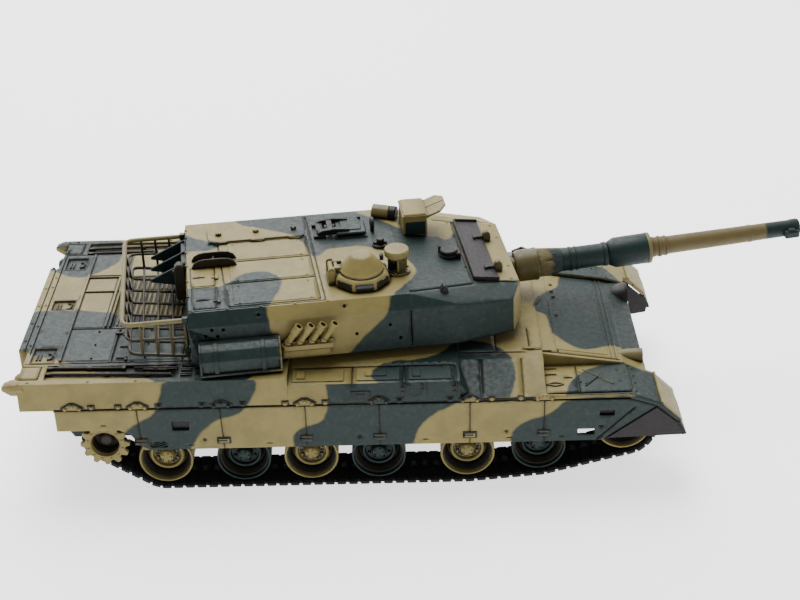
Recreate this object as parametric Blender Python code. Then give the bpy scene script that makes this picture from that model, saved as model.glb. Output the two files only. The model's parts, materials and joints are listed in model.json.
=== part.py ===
"""A radio-controlled model tank: hull tub, deck, running gear, turning turret and elevating gun.

Lengths are in millimetres in a hull frame: X forward from the middle of the hull, Y to the left,
Z up from the ground. Outlines, prisms and turned profiles are written in that frame, and
node() turns them into metres. The turret's parts use a frame on its turning axis, with X
along the gun, and the gun's parts use a frame on the trunnion, with X along the barrel.
"""

import math

import bmesh
import bpy
from mathutils import Matrix, Vector

MM = 0.001
GAP = 0.3  # clearance between neighbouring pieces
OVERLAP = 1.0  # how far joined shapes run into each other, and cuts run past a face
SHAFT_STEPS, PIN_STEPS, BEARING_STEPS, CAN_STEPS, TUBE_STEPS, RING_STEPS = 10, 12, 14, 16, 20, 24
RIGHT, LEFT = -1, 1
SIDES = {"right": RIGHT, "left": LEFT}

# Hull
TUB_HALF_WIDTH = 38.0
TUB_WALL = 2.0
TUB_FLOOR_Z = 12.0
TUB_RIM_Z = 46.0
TUB_REAR_X, TUB_FRONT_X = -151.0, 141.0
TUB_FLOOR_REAR_X, TUB_FLOOR_FRONT_X = -138.0, 118.0
TUB_TAIL_Z, TUB_NOSE_Z = 34.0, 42.0
SLOPE_SHARE_X, SLOPE_SHARE_Z = 0.6, 0.4  # a sloped wall's corners move in by these shares of it
FLOOR_CUT_LOW_Z, FLOOR_CUT_HIGH_Z = 8.0, 20.0
BATTERY_BAY_REAR_X, BATTERY_BAY_FRONT_X, BATTERY_BAY_HALF_WIDTH = -50.0, 30.0, 22.0
COVER_THICKNESS = 2.0
COVER_LATCH = ((20.0, -4.0, 11.2), (27.0, 4.0, 13.0))
SWITCH_SLOT_REAR_X, SWITCH_SLOT_FRONT_X, SWITCH_SLOT_HALF_WIDTH = 58.0, 69.0, 2.6
DECK_HALF_WIDTH = 70.0
SKIRT_OUTER_Y = 71.5
SKIRT_WALL = 1.5
SPONSON_Z = 50.3
HULL_REAR_X = -157.8
REAR_SHOULDER_X = -153.0
ENGINE_DECK_Z = 64.4
FIGHTING_DECK_Z = 61.0
DECK_STEP_X = -28.0
SPONSON_END_X = 52.0
GLACIS_X = 82.0
FENDER_X = 92.0
NOSE_X = 142.0
FLAP_FOLD_X = 145.5
FLAP_TIP_X = 155.5
CENTRE_HALF_WIDTH = 45.0
CENTRE_BLOCK_HALF_WIDTH = 40.0
SHELL_WALL = 2.0
SPONSON_HALF_WIDTH = 71.2
SLOPE_DROP_X = 6.0  # the sloped end of each sponson's box
BAY_FLOOR_Z = 40.0
TRACK_BAY_Y, FRONT_BAY_Y, FRONT_BAY_ROOF_Z = 68.0, 60.0, 53.5
MUDGUARD_GAP_FRONT_X, MUDGUARD_GAP_LOW_Z, MUDGUARD_GAP_HIGH_Z = 160.0, 30.0, 70.0
DECK_CUT_LOW_Z, DECK_CUT_HIGH_Z = 50.0, 70.0
PINION_HOLE_RADIUS = 1.5
LAMP_POD_INNER_Y, LAMP_POD_OUTER_Y = 65.0, 70.2
# Side views, as (x, z)
GLACIS_LINE = [(GLACIS_X, 60.7), (131.0, 53.0), (NOSE_X, 47.0)]
GLACIS_UNDERSIDE = [(140.0, 46.5), (128.0, SPONSON_Z)]
FRONT_BAY_LINE = [(GLACIS_X, 58.7), (129.0, 51.2), (138.0, 46.4), (138.0, BAY_FLOOR_Z)]
FENDER_SIDE = [
    (91.0, SPONSON_Z), (91.0, 52.0), (132.0, 52.4), (FLAP_FOLD_X, 47.2), (FLAP_TIP_X, 37.5), (153.9, 37.0),
    (144.3, 45.8), (131.0, SPONSON_Z),
]
LAMP_POD_SIDE = [
    (-152.0, 58.6), (-152.0, 64.2), (-156.0, 64.2), (-159.8, 62.6), (-159.8, 61.4), (-156.0, 58.6),
]
SKIRT_SIDE = [
    (-137.0, 50.0), (-137.0, 38.7), (-108.0, 38.7), (-103.0, 36.0), (-99.5, 31.0), (-97.0, 27.0),
    (118.5, 27.0), (143.2, 45.36), (142.6, 46.06), (131.0, 50.0),
]
SKIRT_HOLES = (  # (rear, front, bottom, top)
    (-83.0, -75.0, 38.0, 43.0), (-94.0, -86.0, 28.5, 31.5), (117.0, 124.0, 41.0, 44.0),
    (107.0, 115.0, 30.5, 33.5),
)
FLAP_CHEEK_SIDE = [(120.5, 28.0), (143.6, 45.2), (153.2, 36.6), (157.6, 29.3)]
FLAP_APRON_SIDE = [(153.0, 36.2), (155.2, 36.7), (158.4, 29.5), (156.4, 29.0)]
FLAP_INNER_SIDE = [
    (145.4, 43.6), (153.2, 36.6), (156.6, 29.2), (156.4, 26.6), (148.4, 25.2), (147.0, 31.0), (145.6, 38.5),
]
# Section across the front slopes, as (y, z)
FRONT_SLOPES = [
    (-70.0, SPONSON_Z), (70.0, SPONSON_Z), (70.0, 51.5), (50.0, 60.0), (30.0, 60.4), (-30.0, 60.4),
    (-50.0, 60.0), (-70.0, 51.5),
]

# Running gear
WHEEL_X = (-88.9, -51.5, -19.2, 13.1, 55.6, 89.5)
WHEEL_Z = (16.5, 16.5, 16.5, 16.5, 16.5, 19.5)
WHEEL_RADIUS = 13.0
WHEEL_INNER_Y, WHEEL_OUTER_Y = 46.0, 65.0
WHEEL_STEPS = 14
WHEEL_DISC_WIDTH, WHEEL_GROOVE_WIDTH, WHEEL_GROOVE_RADIUS = 7.5, 4.0, 9.5
WHEEL_RIM_RADIUS, WHEEL_DISH_RADIUS, WHEEL_DISH_DEPTH = 11.5, 6.5, 4.0
WHEEL_HUB_RADIUS, WHEEL_HUB_DEPTH = 3.0, 1.5
SPROCKET_X, SPROCKET_Z, SPROCKET_RADIUS = -116.0, 29.2, 11.7
SPROCKET_TEETH, SPROCKET_TOOTH_DEPTH = 12, 2.2
SPROCKET_DRUM_RADIUS = 8.2  # the track runs on the drum, inside the toothed ring
SPROCKET_RING_THICKNESS, SPROCKET_RING_INSET = 2.0, 0.2
SPROCKET_DISH_RADIUS, SPROCKET_DISH_FLOOR_RADIUS, SPROCKET_DISH_DEPTH = 7.2, 6.2, 4.0
SPROCKET_AXLE_START_Y, SPROCKET_AXLE_END_Y = 30.0, 54.0
TOOTH_HALF_SHARE = 0.16
IDLER_X, IDLER_Z, IDLER_RADIUS = 129.5, 30.4, 13.0
TRACK_INNER_Y, TRACK_OUTER_Y = 43.0, 67.0
TRACK_THICKNESS = 3.2
BELT_STEPS = 24
ARM_LEAD, ARM_PIVOT_Z = 17.0, 22.0  # the arm's pivot is ahead of its axle
ARM_INNER_Y, ARM_OUTER_Y = 39.5, 43.5
ARM_EYE_RADIUS, ARM_TIP_RADIUS = 4.0, 3.5
AXLE_RADIUS = 2.0
AXLE_END_Y = 57.5
PIVOT_RADIUS = 2.3
IDLER_AXLE_RADIUS = 2.5
IDLER_AXLE_END_Y, IDLER_BORE_END_Y = 61.0, 61.4
IDLER_BOSS_RADIUS, IDLER_BOSS_END_Y = 5.0, 44.0

# Inside the hull
CELL_RADIUS, CELL_REAR_X, CELL_FRONT_X = 7.0, -44.0, 20.0
CELL_Y, CELL_Z = (-13.5, 0.0, 13.5), 22.0
CELL_STAGGER = 0.01  # the cells' ends are set apart by this much, so that no two share a plane
SLEEVE = ((-43.0, -14.0, 16.0), (19.0, 14.0, 28.0))
BOARD = ((-40.0, -24.0, 34.0), (46.0, 24.0, 35.6))
BOARD_COMPONENTS = (
    ((-30.0, -16.0, 35.0), (-14.0, -2.0, 40.0)), ((-4.0, 2.0, 35.0), (10.0, 16.0, 38.0)),
    ((20.0, -14.0, 35.0), (34.0, 6.0, 37.5)), ((-30.0, 8.0, 35.0), (-20.0, 18.0, 42.0)),
)
GEARBOX_REAR_X, GEARBOX_FRONT_X = -134.0, -104.0
GEARBOX_INNER_Y, GEARBOX_OUTER_Y = 16.0, 35.6
GEARBOX_LOW_Z, GEARBOX_HIGH_Z = 15.0, 40.0
GEARBOX_BORE_INNER_Y, GEARBOX_BORE_OUTER_Y = 29.0, 37.0
DRIVE_MOTOR_Y, DRIVE_MOTOR_Z = 25.5, 27.0
DRIVE_MOTOR_PROFILE = [(-103.5, 0), (-103.5, 7.5), (-78.0, 7.5), (-78.0, 2.5), (-75.0, 2.5), (-75.0, 0)]
SWITCH_KNOB = ((61.0, -2.2, 10.6), (65.0, 2.2, 15.0))
SWITCH_SLIDER = ((59.0, -4.5, 14.3), (67.0, 4.5, 16.5))
SWITCH_X = 61.0
TRAVERSE_CAN_PROFILE = [(34.0, 0), (34.0, 6.0), (56.0, 6.0), (56.0, 3.0), (58.0, 3.0), (58.0, 0)]
TRAVERSE_BORE_RADIUS, TRAVERSE_BORE_LOW_Z, TRAVERSE_BORE_HIGH_Z = 1.2, 52.0, 60.0

# Turret, in its own frame
TURRET_X = -6.0
TURRET_YAW = math.radians(7.5)
TURRET_FLOOR_Z = 65.5
ROOF_Z = 91.0
TURRET_REAR_X = -73.0
TURRET_WALL = 1.8
ROOF_BREAK_X = 30.0
NOSE_ROOF_X, NOSE_ROOF_Z = 85.5, 84.3
RING_MODULE = 0.8
RING_TEETH, PINION_TEETH = 48, 12
TOOTH_ADDENDUM, TOOTH_DEDENDUM = 0.45, 0.85
TOOTH_ROOT_SHARE, TOOTH_TIP_SHARE = 0.50, 0.22
PINION_X = TURRET_X + RING_MODULE * (RING_TEETH + PINION_TEETH) / 2
PINION_LOW_Z, PINION_HIGH_Z = 61.8, 64.6
PINION_SHAFT_RADIUS, PINION_SHAFT_LOW_Z, PINION_SHAFT_HIGH_Z = 0.9, 53.0, 63.0
POST_HALF_LENGTH, POST_INNER_Y, POST_OUTER_Y, POST_LOW_Z, POST_HIGH_Z = 5.0, 5.0, 15.0, 40.0, 57.0
BOARD_ROOM_HALF_LENGTH, BOARD_ROOM_RIGHT_Y, BOARD_ROOM_LEFT_Y = 7.0, -7.0, 18.0
BOARD_ROOM_LOW_Z, BOARD_ROOM_HIGH_Z = 30.0, 43.0
SPIGOT_RADIUS, SPIGOT_WALL, SPIGOT_LOW_Z, SPIGOT_HIGH_Z = 14.0, 3.0, 56.0, 62.0
TURRET_CORNERS = (  # one side, from the roof down to the floor
    (TURRET_REAR_X, 44.5, ROOF_Z), (ROOF_BREAK_X, 44.5, ROOF_Z), (NOSE_ROOF_X, 29.5, NOSE_ROOF_Z),
    (TURRET_REAR_X - 1, 48.6, 85.0), (54.0, 48.6, 85.0), (80.0, 43.0, 82.0), (86.5, 31.0, 80.0),
    (TURRET_REAR_X, 51.0, TURRET_FLOOR_Z), (54.0, 51.0, TURRET_FLOOR_Z), (80.0, 45.0, TURRET_FLOOR_Z),
    (86.5, 31.0, TURRET_FLOOR_Z),
)
SIDE_WALL_SHARE = 1.1  # the leaning side walls take a little more than their thickness across
STOWAGE_SECTION = ((47.0, 65.6), (60.0, 65.6), (60.0, 73.0), (57.0, 76.5), (53.0, 78.0), (47.0, 78.0))
STOWAGE_REAR_X, STOWAGE_FRONT_X = -69.0, -33.0
GUNNER_BRACKET = ((-7.6, 20.4, 90.0), (-4.4, 28.6, 94.0))
ROOF_CUT_LOW_Z, ROOF_CUT_HIGH_Z = 80.0, 100.0
GUNNER_HOLE = ((3.0, 17.4, 80.0), (15.6, 30.6, 100.0))
GUN_SLOT = ((78.0, -5.8, 66.4), (92.0, 5.8, 83.0))
BASE_PLAN = [(82.0, 26.0), (76.0, 41.0), (52.0, 47.0), (-69.0, 47.0)]
BASE_LOW_Z, BASE_HIGH_Z = 65.7, 67.2
RING_LOW_Z = 61.6
BEARING_INNER_Y, BEARING_OUTER_Y, BEARING_HALF_LENGTH = 20.4, 24.0, 6.0
BEARING_LOW_Z, BEARING_HIGH_Z = 66.5, 79.5
NECK_ROOM = ((68.0, -9.0, 60.0), (90.0, 9.0, 70.0))
ELEVATION_CASE = ((24.0, -16.0, 67.6), (46.0, 4.0, 80.0))
ELEVATION_CAN_RADIUS, ELEVATION_CAN_X, ELEVATION_CAN_Z = 6.0, 36.0, 74.0
ELEVATION_CAN_START_Y, ELEVATION_CAN_END_Y = 3.0, 22.0
CUPOLA_X, CUPOLA_Y = 9.5, -27.0
HATCH_HOLE_RADIUS = 9.3
CUPOLA_TOP_Z, CUPOLA_SIDES = 96.2, 8
CUPOLA_FOOT_RADIUS, CUPOLA_TOP_RADIUS = 13.4, 13.0
HINGE_PLATE_REAR_X, HINGE_PLATE_FRONT_X, HINGE_PLATE_TOP_Z = -6.5, -3.3, 99.0
HINGE_PLATE_RIGHT_Y, HINGE_PLATE_LEFT_Y, HINGE_PLATE_THICKNESS = -30.4, -20.4, 1.6
HINGE_FOOT_FRONT_X, HINGE_FOOT_TOP_Z = 1.0, 94.0
DOME_PROFILE = [(96.5, 0), (96.5, 11.0), (98.2, 11.0), (103.6, 7.0), (104.8, 5.8), (104.8, 0)]
HATCH_LUG_RIGHT_Y, HATCH_LUG_LEFT_Y, HATCH_LUG_LOW_Z, HATCH_LUG_HIGH_Z = -28.0, -19.4, 97.0, 99.0
HATCH_LUG_FRONT_X = 1.0
HATCH_PIN_RADIUS, HATCH_PIN_RIGHT_Y, HATCH_PIN_LEFT_Y = 1.4, -28.5, -20.7
HATCH_TRIM = ((-8.0, HATCH_PIN_LEFT_Y, 90.0), (-3.0, -18.0, 100.0))
CUPOLA_HINGE_X, CUPOLA_HINGE_Z = -5.0, 98.0
GUNNER_HINGE_X, GUNNER_HINGE_Z = -6.0, 92.9
GUNNER_LID = ((1.5, 15.0, 91.8), (17.0, 33.0, 94.2))
GUNNER_ARM_Y, GUNNER_ARM_WIDTH, GUNNER_ARM_FRONT_X = (17.6, 29.0), 2.4, 3.0
GUNNER_ARM_LOW_Z, GUNNER_ARM_HIGH_Z, GUNNER_HINGE_Y = 92.0, 93.8, 24.0
PANORAMIC_X, PANORAMIC_Y = 27.2, -21.5
PANORAMIC_PROFILE = [
    (91.3, 0), (91.3, 4.7), (93.0, 4.7), (93.0, 4.1), (99.6, 4.3), (99.6, 6.0), (103.2, 6.0), (103.2, 0),
]
SIGHT_BOX_SIDE = [(35.5, 90.7), (47.5, 89.25), (47.5, 102.0), (35.5, 102.0)]
SIGHT_BOX_RIGHT_Y, SIGHT_BOX_LEFT_Y = 14.0, 32.0
SHUTTER_SIDE = [(47.0, 98.2), (57.8, 102.4), (57.8, 104.0), (47.0, 99.8)]
SHUTTER_Y, SHUTTER_WIDTH = (14.4, 23.2), 8.4
SMOKE_LEDGE_REAR_X, SMOKE_LEDGE_FRONT_X = -31.4, -7.5
SMOKE_LEDGE_INNER_Y, SMOKE_LEDGE_OUTER_Y = 51.0, 54.6
SMOKE_LEDGE_LOW_Z, SMOKE_LEDGE_HIGH_Z = 71.8, 74.6
SMOKE_TUBES, SMOKE_TUBE_PITCH, SMOKE_TUBE_RADIUS, SMOKE_TUBE_SIDES = 4, 5.6, 1.9, 8
SMOKE_TUBE_X, SMOKE_TUBE_Y, SMOKE_TUBE_Z = -29.4, 52.6, 74.0
SMOKE_TUBE_LEAN = (6.0, 1.6, 10.0)
BASKET_FRONT_X, BASKET_BACK_X, BASKET_HALF_WIDTH, BASKET_TOP_Z = -75.2, -104.0, 42.0, 86.0
BASKET_FLOOR_FRONT_Z, BASKET_FLOOR_BACK_Z, BASKET_FLOOR_BACK_X = 66.6, 70.4, -102.0
BASKET_MIDDLE_FRONT_Z, BASKET_MIDDLE_BACK_Z, BASKET_MIDDLE_BACK_X = 76.5, 78.0, -103.0
BASKET_POST_X, BASKET_POST_Z = -89.0, 68.4
BASKET_CROSS_X, BASKET_CROSS_Z = -88.0, 68.35
BASKET_SPACES = 6
RAIL_RADIUS, UPRIGHT_RADIUS, FLOOR_BAR_RADIUS, BACK_BAR_RADIUS = 0.95, 0.8, 0.7, 0.75
CROSS_BAR_RADIUS, FRONT_BAR_RADIUS = 0.65, 0.8
BAR_TWIST = 0.4  # each bar is turned on its own line, so that no two of them share an edge

# Gun, in its own frame
TRUNNION_X, TRUNNION_Z = 60.0, 73.4
GUN_ELEVATION = math.radians(3.4)
MUZZLE_X = 176.8
BARREL_RADIUS, MUZZLE_RADIUS = 4.5, 3.85
MUZZLE_BORE_RADIUS, MUZZLE_BORE_DEPTH = 2.2, 8.0
SLEEVE_START, SLEEVE_END, SLEEVE_RADIUS = 53.3, 77.0, 5.7
SENSOR = ((167.0, -7.4, -2.6), (175.5, -3.0, 1.4))
EXTRACTOR_START, EXTRACTOR_END, EXTRACTOR_RADIUS = 77.6, 98.4, 7.6
EXTRACTOR_REAR_RADIUS, EXTRACTOR_FRONT_RADIUS = 5.6, 5.4
EXTRACTOR_REAR_TAPER, EXTRACTOR_FRONT_TAPER = 3.0, 4.0
TRUNNION_RADIUS, TRUNNION_HALF_LENGTH = 3.5, 23.8
CRADLE_RADIUS, CRADLE_HALF_LENGTH = 6.0, 18.0
MANTLET_PROFILE = [
    (0, 0), (0, 4.8), (29.5, 4.8), (29.5, 7.2), (31.0, 8.0), (40.0, 7.8), (40.6, 6.2), (53.0, 5.7), (53.0, 0),
]

SAND = (0.56, 0.48, 0.28)
GREEN = (0.065, 0.105, 0.11)
OLIVE = (0.30, 0.25, 0.10)
BLACK = (0.012, 0.012, 0.013)
FLAP_BROWN = (0.035, 0.028, 0.028)
CELL_BLUE = (0.05, 0.12, 0.35)
BOARD_GREEN = (0.02, 0.16, 0.06)
NYLON = (0.75, 0.74, 0.70)
STEEL = (0.55, 0.55, 0.56)
AXES = {
    "X": lambda a, b, along: (along, a, b),
    "Y": lambda a, b, along: (a, along, b),
    "Z": lambda a, b, along: (a, b, along),
}


# Shapes ---------------------------------------------------------------------------------------


def closed(bm):
    bmesh.ops.recalc_face_normals(bm, faces=bm.faces)
    return bm


def prism(outline, axis, start, end):
    """A flat outline pushed along an axis; the outline's pairs are the other two coordinates."""
    bm = bmesh.new()
    rings = [[bm.verts.new(AXES[axis](a, b, along)) for a, b in outline] for along in (start, end)]
    return skinned(bm, rings)


def block(low, high):
    outline = [(low[0], low[1]), (high[0], low[1]), (high[0], high[1]), (low[0], high[1])]
    return prism(outline, "Z", low[2], high[2])


def skinned(bm, rings):
    """Sides between rings with equal counts, and a flat cap on the first and last."""
    count = len(rings[0])
    for near, far in zip(rings, rings[1:]):
        for i in range(count):
            j = (i + 1) % count
            bm.faces.new((near[i], near[j], far[j], far[i]))
    bm.faces.new(rings[0])
    bm.faces.new(rings[-1])
    return closed(bm)


def turned(profile, axis="Z", centre=(0, 0, 0), steps=RING_STEPS, phase=0.0):
    """A profile of (distance along the axis, radius), turned about a line through the centre."""
    bm = bmesh.new()
    rings = []
    for along, radius in profile:
        if radius == 0:
            rings.append([bm.verts.new(Vector(AXES[axis](0, 0, along)) + Vector(centre))])
            continue
        ring = []
        for i in range(steps):
            angle = phase + math.tau * i / steps
            point = AXES[axis](radius * math.cos(angle), radius * math.sin(angle), along)
            ring.append(bm.verts.new(Vector(point) + Vector(centre)))
        rings.append(ring)
    for near, far in zip(rings, rings[1:]):
        for i in range(steps):
            j = (i + 1) % steps
            corners = [near[i % len(near)], near[j % len(near)], far[j % len(far)], far[i % len(far)]]
            bm.faces.new(list(dict.fromkeys(corners)))
    for ring in (rings[0], rings[-1]):
        if len(ring) > 1:
            bm.faces.new(ring)
    return closed(bm)


def cylinder(radius, axis, start, end, centre=(0, 0, 0), steps=CAN_STEPS):
    return turned([(start, radius), (end, radius)], axis, centre, steps)


def bar(start, end, radius, sides=4, phase=0.0):
    """A straight rod between two points, set a little past both of them."""
    start, end = Vector(start), Vector(end)
    along = (end - start).normalized()
    reach = [(-radius / 2, radius), ((end - start).length + radius / 2, radius)]
    rod = turned(reach, "Z", steps=sides, phase=phase)
    turn = Vector((0, 0, 1)).rotation_difference(along).to_matrix().to_4x4()
    bmesh.ops.transform(rod, matrix=Matrix.Translation(start) @ turn, verts=rod.verts)
    return rod


def hull_of(points):
    bm = bmesh.new()
    for point in points:
        bm.verts.new(point)
    found = bmesh.ops.convex_hull(bm, input=bm.verts)
    inside = [v for v in found["geom_interior"] + found["geom_unused"] if isinstance(v, bmesh.types.BMVert)]
    bmesh.ops.delete(bm, geom=inside, context="VERTS")
    bmesh.ops.dissolve_limit(bm, angle_limit=math.radians(0.5), verts=bm.verts, edges=bm.edges)
    return closed(bm)


def holder(bm, name):
    mesh = bpy.data.meshes.new(name)
    bm.to_mesh(mesh)
    bm.free()
    return bpy.data.objects.new(name, mesh)


def cut_and_joined(adds, cuts=()):
    """One closed solid: all of the adds together, with the cuts taken away."""
    base = holder(adds[0], "work")
    bpy.context.scene.collection.objects.link(base)
    groups = []
    for operation, shapes in (("UNION", adds[1:]), ("DIFFERENCE", cuts)):
        if not shapes:
            continue
        group = bpy.data.collections.new("operands")
        for shape in shapes:
            group.objects.link(holder(shape, "operand"))
        bpy.context.scene.collection.children.link(group)
        modifier = base.modifiers.new("join", "BOOLEAN")
        modifier.operation = operation
        modifier.operand_type = "COLLECTION"
        modifier.collection = group
        modifier.solver = "EXACT"
        groups.append(group)
    graph = bpy.context.evaluated_depsgraph_get()
    result = bmesh.new()
    result.from_mesh(base.evaluated_get(graph).to_mesh())
    for group in groups:
        for part in list(group.objects):
            bpy.data.objects.remove(part)
        bpy.data.collections.remove(group)
    bpy.data.objects.remove(base)
    return result


def paint(name, colour, roughness, metallic):
    material = bpy.data.materials.new(name)
    material.use_nodes = True
    shader = material.node_tree.nodes["Principled BSDF"]
    shader.inputs["Base Color"].default_value = (*colour, 1)
    shader.inputs["Roughness"].default_value = roughness
    shader.inputs["Metallic"].default_value = metallic
    return material


def node(name, shape, colour, parent, place=(0, 0, 0), roughness=0.6, metallic=0.0):
    """The object of one sub-part. The shape is in its parent's frame, and place is its origin."""
    bmesh.ops.translate(shape, vec=-Vector(place), verts=shape.verts)
    bmesh.ops.scale(shape, vec=(MM, MM, MM), verts=shape.verts)
    mesh = bpy.data.meshes.new(name)
    shape.to_mesh(mesh)
    shape.free()
    mesh.shade_smooth()
    mesh.set_sharp_from_angle(angle=math.radians(30))
    mesh.materials.append(paint(name, colour, roughness, metallic))
    made = bpy.data.objects.new(name, mesh)
    made.parent = parent
    made.location = Vector(place) * MM
    bpy.context.scene.collection.objects.link(made)
    return made


def frame(name, parent=None, place=(0, 0, 0), turn=(0, 0, 0)):
    empty = bpy.data.objects.new(name, None)
    empty.parent = parent
    empty.location = Vector(place) * MM
    empty.rotation_euler = turn
    bpy.context.scene.collection.objects.link(empty)
    return empty


def mirrored(outline):
    """A half outline with positive Y, in order from front to back, and its other half."""
    return outline + [(x, -y) for x, y in reversed(outline)]


def gear_outline(teeth, centre=(0, 0), phase=0.0):
    pitch_radius = RING_MODULE * teeth / 2
    root, tip = pitch_radius - TOOTH_DEDENDUM, pitch_radius + TOOTH_ADDENDUM
    shares = (
        (root, -TOOTH_ROOT_SHARE), (tip, -TOOTH_TIP_SHARE), (tip, TOOTH_TIP_SHARE), (root, TOOTH_ROOT_SHARE),
    )
    points = []
    for i in range(teeth):
        for radius, share in shares:
            angle = phase + math.tau * (i + share / 2) / teeth
            points.append((centre[0] + radius * math.cos(angle), centre[1] + radius * math.sin(angle)))
    return points


# Hull -----------------------------------------------------------------------------------------


def tub_outline(inset):
    """The tub's side view, drawn in by a wall's thickness, and left open above the rim."""
    rim = TUB_RIM_Z if inset == 0 else TUB_RIM_Z + 4 * TUB_WALL
    floor = TUB_FLOOR_Z + inset
    return [
        (TUB_REAR_X + inset, rim),
        (TUB_REAR_X + inset, TUB_TAIL_Z + inset * SLOPE_SHARE_Z),
        (TUB_FLOOR_REAR_X + inset * SLOPE_SHARE_X, floor),
        (TUB_FLOOR_FRONT_X - inset * SLOPE_SHARE_X, floor),
        (TUB_FRONT_X - inset, TUB_NOSE_Z + inset * SLOPE_SHARE_Z),
        (TUB_FRONT_X - inset, rim),
    ]


def lower_hull(parent):
    adds = [prism(tub_outline(0), "Y", -TUB_HALF_WIDTH, TUB_HALF_WIDTH)]
    inner = TUB_HALF_WIDTH - TUB_WALL
    cuts = [prism(tub_outline(TUB_WALL), "Y", -inner, inner)]
    cuts.append(block(
        (BATTERY_BAY_REAR_X, -BATTERY_BAY_HALF_WIDTH, FLOOR_CUT_LOW_Z),
        (BATTERY_BAY_FRONT_X, BATTERY_BAY_HALF_WIDTH, FLOOR_CUT_HIGH_Z),
    ))
    cuts.append(block(
        (SWITCH_SLOT_REAR_X, -SWITCH_SLOT_HALF_WIDTH, FLOOR_CUT_LOW_Z),
        (SWITCH_SLOT_FRONT_X, SWITCH_SLOT_HALF_WIDTH, FLOOR_CUT_HIGH_Z),
    ))
    for side in SIDES.values():
        wall = sorted((side * (inner - OVERLAP), side * (TUB_HALF_WIDTH + OVERLAP)))
        for x in WHEEL_X:
            pivot = (x + ARM_LEAD, 0, ARM_PIVOT_Z)
            cuts.append(cylinder(PIVOT_RADIUS + GAP, "Y", *wall, pivot, PIN_STEPS))
        cuts.append(cylinder(IDLER_AXLE_RADIUS + GAP, "Y", *wall, (SPROCKET_X, 0, SPROCKET_Z), PIN_STEPS))
        axle = sorted((side * (inner + OVERLAP), side * IDLER_AXLE_END_Y))
        boss = sorted((side * (inner + OVERLAP), side * IDLER_BOSS_END_Y))
        adds.append(cylinder(IDLER_AXLE_RADIUS, "Y", *axle, (IDLER_X, 0, IDLER_Z), PIN_STEPS))
        adds.append(cylinder(IDLER_BOSS_RADIUS, "Y", *boss, (IDLER_X, 0, IDLER_Z), PIN_STEPS))
    node("lower_hull", cut_and_joined(adds, cuts), GREEN, parent)


def battery_cover(parent):
    half_width = BATTERY_BAY_HALF_WIDTH - GAP
    plate = block(
        (BATTERY_BAY_REAR_X + GAP, -half_width, TUB_FLOOR_Z),
        (BATTERY_BAY_FRONT_X - GAP, half_width, TUB_FLOOR_Z + COVER_THICKNESS),
    )
    node("battery_cover", cut_and_joined([plate, block(*COVER_LATCH)]), GREEN, parent)


def upper_hull(parent):
    foot = [(-SPONSON_HALF_WIDTH, SPONSON_Z), (SPONSON_HALF_WIDTH, SPONSON_Z)]
    rear = prism(
        foot + [(DECK_HALF_WIDTH, ENGINE_DECK_Z), (-DECK_HALF_WIDTH, ENGINE_DECK_Z)],
        "X", REAR_SHOULDER_X, DECK_STEP_X,
    )
    middle = prism(
        foot + [(DECK_HALF_WIDTH, FIGHTING_DECK_Z), (-DECK_HALF_WIDTH, FIGHTING_DECK_Z)],
        "X", DECK_STEP_X - OVERLAP, SPONSON_END_X,
    )
    centre = prism(
        [
            (HULL_REAR_X, TUB_RIM_Z + GAP), (HULL_REAR_X, ENGINE_DECK_Z), (DECK_STEP_X, ENGINE_DECK_Z),
            (DECK_STEP_X, FIGHTING_DECK_Z),
        ] + GLACIS_LINE + [(NOSE_X, TUB_RIM_Z + GAP)],
        "Y", -CENTRE_BLOCK_HALF_WIDTH, CENTRE_BLOCK_HALF_WIDTH,
    )
    front = SPONSON_END_X - OVERLAP
    glacis = prism(
        [(front, SPONSON_Z), (front, FIGHTING_DECK_Z)] + GLACIS_LINE + GLACIS_UNDERSIDE,
        "Y", -CENTRE_HALF_WIDTH, CENTRE_HALF_WIDTH,
    )
    slopes = prism(FRONT_SLOPES, "X", front, FENDER_X)
    corner = prism(
        [(front, SPONSON_Z), (front, FIGHTING_DECK_Z), (SPONSON_END_X + SLOPE_DROP_X, SPONSON_Z)],
        "Y", -DECK_HALF_WIDTH, DECK_HALF_WIDTH,
    )
    fender = prism(FENDER_SIDE, "Y", -SKIRT_OUTER_Y, SKIRT_OUTER_Y)
    adds = [rear, middle, centre, glacis, slopes, corner, fender]
    cuts = [
        # the gap between the two mudguards, ahead of the nose
        block(
            (NOSE_X, -CENTRE_HALF_WIDTH, MUDGUARD_GAP_LOW_Z),
            (MUDGUARD_GAP_FRONT_X, CENTRE_HALF_WIDTH, MUDGUARD_GAP_HIGH_Z),
        ),
        cylinder(SPIGOT_RADIUS + GAP, "Z", DECK_CUT_LOW_Z, DECK_CUT_HIGH_Z, (TURRET_X, 0, 0), RING_STEPS),
        cylinder(PINION_HOLE_RADIUS, "Z", DECK_CUT_LOW_Z, DECK_CUT_HIGH_Z, (PINION_X, 0, 0), PIN_STEPS),
    ]
    for side in SIDES.values():
        near, far = sorted((side * LAMP_POD_INNER_Y, side * LAMP_POD_OUTER_Y))
        adds.append(prism(LAMP_POD_SIDE, "Y", near, far))
    cuts += deck_hollows()
    node("upper_hull", cut_and_joined(adds, cuts), SAND, parent)


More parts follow.
